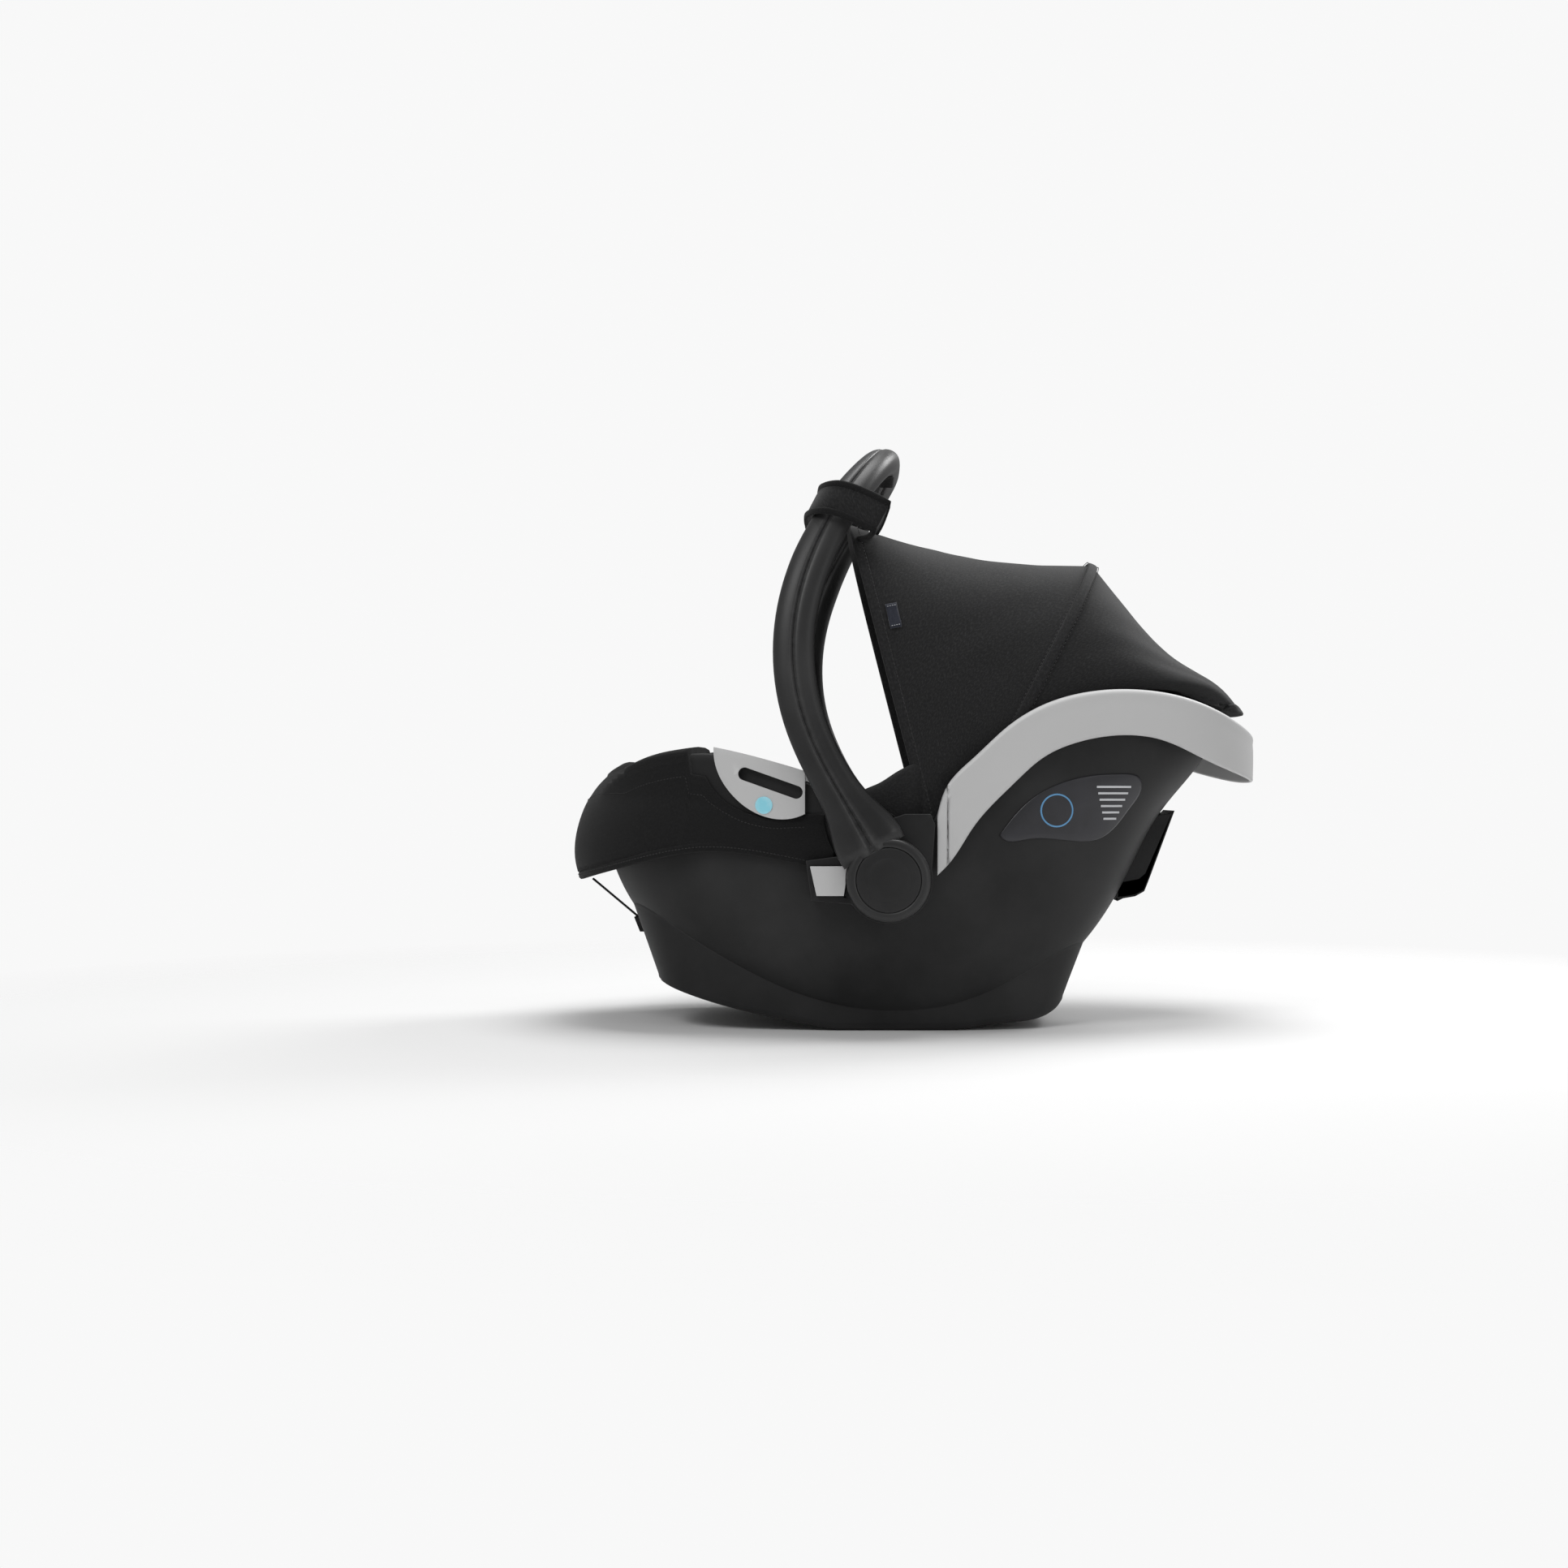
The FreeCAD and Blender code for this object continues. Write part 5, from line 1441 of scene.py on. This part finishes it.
# How far a moulded block's wall stands in, in mm, at each share of its height.
BLOCK_PROFILE = (
    (0.0, 1.5), (0.06, 0.4), (0.16, 0.0), (0.5, 0.0), (0.84, 0.0), (0.94, 0.5), (0.985, 1.6), (1.0, 3.2),
)


def rounded_on_seat(name, start, end, low, high, half, crown=1.2):
    """A moulded block on the seat line with rounded corners and a crowned top."""
    middle = (start + end) / 2
    place, ahead, normal = seat_frame(middle)
    reach = (end - start) * SEAT_RUN / 2
    angle = even_angles(49, -reach, reach, half, 5.0)[:-1]
    rows = []
    for share, inset in BLOCK_PROFILE:
        x, s = oval(angle, -reach + inset, reach - inset, half - inset, 5.0)
        z = low + (high - low) * share
        rows.append(place + ahead * x[:, None] + np.array([0, 1, 0]) * s[:, None] + normal * z)
    drawn = BLOCK_PROFILE[-1][1]
    for share in (0.75, 0.4, 0.1):
        x, s = oval(angle, (-reach + drawn) * share, (reach - drawn) * share, (half - drawn) * share, 5.0)
        z = high + crown * (1 - share ** 2)
        rows.append(place + ahead * x[:, None] + np.array([0, 1, 0]) * s[:, None] + normal * z)
    return outward(sheet_mesh(name, rows, loop=True, cap_low=True, cap_high=True))


def build_buckle():
    """Harness buckle with a raised rim round its push button, and the front adjuster."""
    body = rounded_on_seat("buckle_casing", 0.46, 0.545, 1.0, 18.6, 24.0)
    dressed(body, "buckle_plastic", stands_for=["buckle_body"])
    start, end = 0.475, 0.512
    place, ahead, normal = seat_frame((start + end) / 2)
    reach = (end - start) * SEAT_RUN / 2
    angle = even_angles(65, -reach - 1.6, reach + 1.6, 12.8, 5.0)[:-1]
    x, s = oval(angle, -reach - 1.6, reach + 1.6, 12.8, 5.0)
    path = place + ahead * x[:, None] + np.array([0, 1, 0]) * s[:, None] + normal * 19.4
    dressed(swept("buckle_rim", path, normal, round_section(1.3, 10), True), "buckle_plastic")
    button = rounded_on_seat("buckle_push_button", start, end, 16.2, 20.4, 11.0, crown=0.5)
    dressed(button, "button_red", "buckle_button", ["buckle_button"])
    for k, shift in enumerate((-4.0, 0.0, 4.0)):
        across = [np.array([0, t, 0]) for t in np.linspace(-7, 7, 12)]
        line = np.array([place + ahead * shift + t + normal * 20.9 for t in across])
        ridge = swept(f"buckle_button_ridge_{k}", line, normal, round_section(0.6, 8))
        dressed(ridge, "button_red", "buckle_button")
    plate = rounded_on_seat("adjuster_plate", 0.10, 0.155, 0.8, 5.4, 22.0, crown=0.4)
    dressed(plate, "buckle_plastic", stands_for=["adjuster_housing"])
    lever = rounded_on_seat("adjuster_lever", 0.112, 0.142, 4.4, 7.0, 12.0, crown=0.3)
    dressed(lever, "trim_grey", "adjuster_button", ["adjuster_button"])
    path, up = strap_path(0.02, 0.10, np.linspace(4.0, 3.0, 16), 0, 16)
    dressed(swept("adjuster_strap_tail", path, up, flat_section(24, 1.5, 18, 8)), "webbing")


HOOK_BLADE = (
    (200, 118), (206, 121), (218, 123), (227, 128), (231, 138), (254, 200), (257, 208),
    (252, 203), (227, 146), (221, 141), (205, 138), (200, 136),
)
HOOK_CHEEK = (
    (194, 121), (206, 122), (218, 124), (227, 129), (231, 139), (253, 199), (255, 205), (243, 204),
    (232, 200), (212, 165), (194, 128),
)


def plate(name, outline, low, high):
    """A flat plate with the given side outline, between two places across the seat."""
    count = len(outline)
    points = [(x, y, z) for y in (low, high) for x, z in outline]
    faces = [tuple(range(count)), tuple(reversed(range(count, 2 * count)))]
    faces += [(k, (k + 1) % count, (k + 1) % count + count, k + count) for k in range(count)]
    made = outward(mesh_piece(name, points, faces))
    for face in made.data.polygons:
        face.use_smooth = False
    edge = made.modifiers.new("round", "BEVEL")
    edge.width = 0.9 * MM
    edge.segments = 3
    edge.limit_method = "ANGLE"
    return made


def build_hook():
    """Shoulder-belt hook behind the backrest: a blade between two closed side cheeks."""
    half = 42.0
    dressed(plate("belt_hook_blade", HOOK_BLADE, -half, half), "shell_plastic", stands_for=["belt_hook"])
    for name, side in SIDES:
        low, high = sorted((side * half, side * (half - 3.0)))
        dressed(plate(f"belt_hook_cheek_{name}", HOOK_CHEEK, low, high), "shell_plastic")


CARRIED = (
    ("belt_guide_left", "trim_grey", 1.2), ("belt_guide_right", "trim_grey", 1.2),
    ("belt_mark_left", "mark_blue", 0.0), ("belt_mark_right", "mark_blue", 0.0),
    ("foam_liner", "foam_white", 0.0),
    ("hub_axle_left", "steel", 0.4), ("hub_axle_right", "steel", 0.4),
    ("hub_base_left", "hub_base_plastic", 1.2), ("hub_base_right", "hub_base_plastic", 1.2),
    ("handle_button_left", "trim_grey", 1.4), ("handle_button_right", "trim_grey", 1.4),
    ("canopy_socket_left", "buckle_plastic", 0.6), ("canopy_socket_right", "buckle_plastic", 0.6),
    ("bow_end_left", "buckle_plastic", 0.5), ("bow_end_right", "buckle_plastic", 0.5),
    ("buckle_tongue_left", "steel", 0.3), ("buckle_tongue_right", "steel", 0.3),
    ("canopy_bow", "bow_wire", 0.0), ("tie_hook", "base_plastic", 0.8),
)


def dress_carried():
    for node, slot, width in CARRIED:
        paint_node(node, slot, width)


# ---- stage ----
# All in metres: half the floor's side, and where the camera stands along the seat and above the floor.
FLOOR_HALF = 14.0
CAMERA_ALONG = -0.0484
CAMERA_RISE = 0.2306
# The lens is shifted sideways and up, in shares of the frame, so that it needn't turn.
LENS_SHIFT = (-0.0518, 0.0021)
# Name, place in metres, side in metres and power in watts of each lamp.
LAMPS = (
    ("key light", (-1.4, -2.2, 2.4), 1.2, 34), ("rim light", (1.7, 1.4, 1.9), 1.0, 40),
    ("top light", (0.15, 0.15, 2.6), 1.5, 46), ("low fill", (2.1, -2.0, 0.7), 1.2, 9),
)


def build_stage(stage):
    """Plain pale floor, a white surround that lights softly, studio lamps and a camera facing the side."""
    steps = np.linspace(-FLOOR_HALF, FLOOR_HALF, 3) / MM
    grid = [[(x, y, -0.3) for x in steps] for y in steps]
    floor = sheet_mesh("floor", np.array(grid))
    pale, tree, surface = finish_base("pale floor", (0.9, 0.9, 0.9), 0.95)
    surface.inputs["Specular IOR Level"].default_value = 0.1
    place = add(tree, "TexCoord").outputs["Object"]
    cloud = add(tree, "TexNoise", {"Vector": place, "Scale": 1.3, "Detail": 2.0}).outputs["Fac"]
    tone = mixed(tree, spread(tree, cloud, 0.3, 0.7, 0.0, 1.0), (0.69, 0.69, 0.69, 1), (0.71, 0.71, 0.71, 1))
    tree.links.new(tone, surface.inputs["Base Color"])
    away = add(tree, "VectorMath", {0: place}, operation="LENGTH").outputs["Value"]
    fade = spread(tree, away, 0.5, 1.25, 0.0, 1.0)
    clear = add(tree, "BsdfTransparent").outputs[0]
    both = add(tree, "MixShader", {0: fade, 1: surface.outputs[0], 2: clear})
    tree.links.new(both.outputs[0], tree.nodes["Material Output"].inputs["Surface"])
    floor.data.materials.append(pale)
    world = bpy.data.worlds.new("studio")
    world.use_nodes = True
    tree = world.node_tree
    lit = tree.nodes["Background"]
    lit.inputs["Color"].default_value = (1, 1, 1, 1)
    lit.inputs["Strength"].default_value = stage.sky
    seen = add(tree, "Background", {"Color": (0.94, 0.94, 0.94, 1), "Strength": 1.0})
    straight = add(tree, "LightPath").outputs["Is Camera Ray"]
    both = add(tree, "MixShader", {0: straight, 1: lit.outputs[0], 2: seen.outputs[0]})
    tree.links.new(both.outputs[0], tree.nodes["World Output"].inputs["Surface"])
    scene = bpy.context.scene
    scene.world = world
    scene.view_settings.view_transform = "Standard"
    aim = Vector(((CAD_LOW.x + CAD_HIGH.x) / 2, 0, (CAD_LOW.z + CAD_HIGH.z) / 2))
    for name, place, size, watts in LAMPS:
        lamp = bpy.data.lights.new(name, "AREA")
        lamp.size = size
        lamp.energy = watts * stage.light
        made = bpy.data.objects.new(name, lamp)
        made.location = place
        made.rotation_euler = (aim - Vector(place)).to_track_quat("-Z", "Y").to_euler()
        scene.collection.objects.link(made)
    lens = bpy.data.cameras.new("camera")
    lens.lens = stage.lens
    lens.shift_x, lens.shift_y = LENS_SHIFT
    camera = bpy.data.objects.new("camera", lens)
    camera.location = (CAMERA_ALONG, -stage.distance, CAMERA_RISE)
    camera.rotation_euler = (math.radians(90), 0, 0)
    scene.collection.objects.link(camera)
    scene.camera = camera


# ---- settings, operators and panel ----
class CarrierSizes(bpy.types.PropertyGroup):
    tub_wall: bpy.props.FloatProperty(
        name="Tub wall", description="Thickness of the moulded tub", default=0.004, unit="LENGTH"
    )
    rim_wall: bpy.props.FloatProperty(
        name="Rim wall", description="Thickness of the head rim's band", default=0.004, unit="LENGTH"
    )
    hub_radius: bpy.props.FloatProperty(
        name="Hub radius", description="Radius of the handle's turning hubs",
        default=HUB_RADIUS * MM, unit="LENGTH"
    )
    canopy_sag: bpy.props.FloatProperty(
        name="Canopy sag", description="How far the stretched canopy dips between its arches",
        default=0.0025, unit="LENGTH"
    )


class CarrierColours(bpy.types.PropertyGroup):
    shell: bpy.props.FloatVectorProperty(
        name="Shell", description="Colour of the moulded shells", subtype="COLOR",
        default=(0.0065, 0.0065, 0.0068)
    )
    fabric: bpy.props.FloatVectorProperty(
        name="Fabric", description="Ground colour of the canopy cloth", subtype="COLOR",
        default=(0.0105, 0.0105, 0.011)
    )
    insert: bpy.props.FloatVectorProperty(
        name="Insert", description="Colour of the insert and head support", subtype="COLOR",
        default=(0.075, 0.077, 0.082)
    )
    trim: bpy.props.FloatVectorProperty(
        name="Trim", description="Colour of the rim, belt guides and handle buttons", subtype="COLOR",
        default=(0.5, 0.5, 0.5)
    )
    mark: bpy.props.FloatVectorProperty(
        name="Belt mark", description="Colour of the belt guide's disc", subtype="COLOR",
        default=(0.26, 0.64, 0.76)
    )
    button: bpy.props.FloatVectorProperty(
        name="Button", description="Colour of the harness button", subtype="COLOR",
        default=(0.42, 0.015, 0.012)
    )


class CarrierStage(bpy.types.PropertyGroup):
    light: bpy.props.FloatProperty(name="Light", description="Strength of the studio lamps", default=1.0)
    sky: bpy.props.FloatProperty(name="Sky", description="Strength of the white surround", default=0.42)
    lens: bpy.props.FloatProperty(name="Lens", description="Camera focal length in mm", default=51.4)
    distance: bpy.props.FloatProperty(
        name="Camera distance", description="Distance from the seat's middle plane",
        default=2.25, unit="LENGTH"
    )


class CARRIER_OT_finishes(bpy.types.Operator):
    """Makes every finish"""

    bl_idname = "carrier.finishes"
    bl_label = "Finishes"

    def execute(self, context):
        make_finishes(context.scene.carrier_colours)
        return {"FINISHED"}


class CARRIER_OT_stage(bpy.types.Operator):
    """Lays the pale floor and sets the lights and the camera"""

    bl_idname = "carrier.stage"
    bl_label = "Stage"

    def execute(self, context):
        build_stage(context.scene.carrier_stage)
        return {"FINISHED"}


class CARRIER_OT_carried(bpy.types.Operator):
    """Dresses the parts that keep the frame's own form"""

    bl_idname = "carrier.carried"
    bl_label = "Carried-over parts"

    def execute(self, context):
        dress_carried()
        return {"FINISHED"}


class CARRIER_OT_shell(bpy.types.Operator):
    """Builds the tub with its rounded lip"""

    bl_idname = "carrier.shell"
    bl_label = "Tub"

    def execute(self, context):
        build_shell(context.scene.carrier_sizes)
        return {"FINISHED"}


class CARRIER_OT_base(bpy.types.Operator):
    """Builds the rocker base"""

    bl_idname = "carrier.base"
    bl_label = "Rocker base"

    def execute(self, context):
        build_base()
        return {"FINISHED"}


class CARRIER_OT_rim(bpy.types.Operator):
    """Builds the grey head rim"""

    bl_idname = "carrier.rim"
    bl_label = "Head rim"

    def execute(self, context):
        build_rim(context.scene.carrier_sizes)
        return {"FINISHED"}


class CARRIER_OT_labels(bpy.types.Operator):
    """Builds the plain instruction panels"""

    bl_idname = "carrier.labels"
    bl_label = "Panels"

    def execute(self, context):
        build_labels()
        return {"FINISHED"}


class CARRIER_OT_hook(bpy.types.Operator):
    """Builds the shoulder-belt hook"""

    bl_idname = "carrier.hook"
    bl_label = "Belt hook"

    def execute(self, context):
        build_hook()
        return {"FINISHED"}


class CARRIER_OT_hubs(bpy.types.Operator):
    """Turns the handle's hubs and caps"""

    bl_idname = "carrier.hubs"
    bl_label = "Hubs"

    def execute(self, context):
        build_hubs(context.scene.carrier_sizes)
        return {"FINISHED"}


class CARRIER_OT_handle(bpy.types.Operator):
    """Builds the two half shells of the handle and its grip"""

    bl_idname = "carrier.handle"
    bl_label = "Handle"

    def execute(self, context):
        build_handle()
        return {"FINISHED"}


class CARRIER_OT_foot_cover(bpy.types.Operator):
    """Builds the padded cover over the foot end"""

    bl_idname = "carrier.foot_cover"
    bl_label = "Foot cover"

    def execute(self, context):
        build_foot_cover()
        return {"FINISHED"}


class CARRIER_OT_tie(bpy.types.Operator):
    """Builds the cover's elastic tie"""

    bl_idname = "carrier.tie"
    bl_label = "Cover tie"

    def execute(self, context):
        build_tie()
        return {"FINISHED"}


class CARRIER_OT_liner(bpy.types.Operator):
    """Builds the padded seat liner"""

    bl_idname = "carrier.liner"
    bl_label = "Liner"

    def execute(self, context):
        build_liner()
        return {"FINISHED"}


class CARRIER_OT_wings(bpy.types.Operator):
    """Builds the liner's side wings and their piping"""

    bl_idname = "carrier.wings"
    bl_label = "Liner wings"

    def execute(self, context):
        build_wings()
        return {"FINISHED"}


class CARRIER_OT_insert(bpy.types.Operator):
    """Builds the stuffed insert"""

    bl_idname = "carrier.insert"
    bl_label = "Insert"

    def execute(self, context):
        build_insert()
        return {"FINISHED"}


class CARRIER_OT_headrest(bpy.types.Operator):
    """Builds the stuffed head support"""

    bl_idname = "carrier.headrest"
    bl_label = "Head support"

    def execute(self, context):
        build_headrest()
        return {"FINISHED"}


class CARRIER_OT_harness(bpy.types.Operator):
    """Builds the webbing and its pads"""

    bl_idname = "carrier.harness"
    bl_label = "Harness"

    def execute(self, context):
        build_harness()
        return {"FINISHED"}


class CARRIER_OT_buckle(bpy.types.Operator):
    """Builds the harness buckle and the adjuster"""

    bl_idname = "carrier.buckle"
    bl_label = "Buckle"

    def execute(self, context):
        build_buckle()
        return {"FINISHED"}


class CARRIER_OT_canopy(bpy.types.Operator):
    """Builds the canopy, its bow channel and its side tag"""

    bl_idname = "carrier.canopy"
    bl_label = "Canopy"

    def execute(self, context):
        build_tag(*build_canopy(context.scene.carrier_sizes))
        return {"FINISHED"}


class CARRIER_OT_strap(bpy.types.Operator):
    """Builds the canopy's strap round the handle"""

    bl_idname = "carrier.strap"
    bl_label = "Handle strap"

    def execute(self, context):
        build_loop()
        return {"FINISHED"}


STEPS = (
    CARRIER_OT_finishes, CARRIER_OT_stage, CARRIER_OT_carried, CARRIER_OT_shell, CARRIER_OT_base,
    CARRIER_OT_rim, CARRIER_OT_labels, CARRIER_OT_hook, CARRIER_OT_hubs, CARRIER_OT_handle,
    CARRIER_OT_foot_cover, CARRIER_OT_tie, CARRIER_OT_liner, CARRIER_OT_wings, CARRIER_OT_insert,
    CARRIER_OT_headrest, CARRIER_OT_harness, CARRIER_OT_buckle, CARRIER_OT_canopy, CARRIER_OT_strap,
)


class CARRIER_PT_panel(bpy.types.Panel):
    """Sizes, colours and building steps of the carrier seat"""

    bl_idname = "CARRIER_PT_panel"
    bl_label = "Infant carrier"
    bl_space_type = "VIEW_3D"
    bl_region_type = "UI"
    bl_category = "Carrier"

    def draw(self, context):
        for name, _ in GROUPS:
            group = getattr(context.scene, name)
            for field in group.bl_rna.properties:
                if field.identifier not in {"rna_type", "name"}:
                    self.layout.prop(group, field.identifier)
        for step in STEPS:
            self.layout.operator(step.bl_idname)


GROUPS = (
    ("carrier_sizes", CarrierSizes), ("carrier_colours", CarrierColours), ("carrier_stage", CarrierStage),
)


def register():
    for name, group in GROUPS:
        bpy.utils.register_class(group)
        setattr(bpy.types.Scene, name, bpy.props.PointerProperty(type=group))
    for cls in (*STEPS, CARRIER_PT_panel):
        bpy.utils.register_class(cls)


def unregister():
    for cls in reversed((*STEPS, CARRIER_PT_panel)):
        bpy.utils.unregister_class(cls)
    for name, group in reversed(GROUPS):
        delattr(bpy.types.Scene, name)
        bpy.utils.unregister_class(group)


def main():
    register()
    for step in STEPS:
        getattr(bpy.ops.carrier, step.bl_idname.split(".")[1])()


if __name__ == "__main__":
    main()
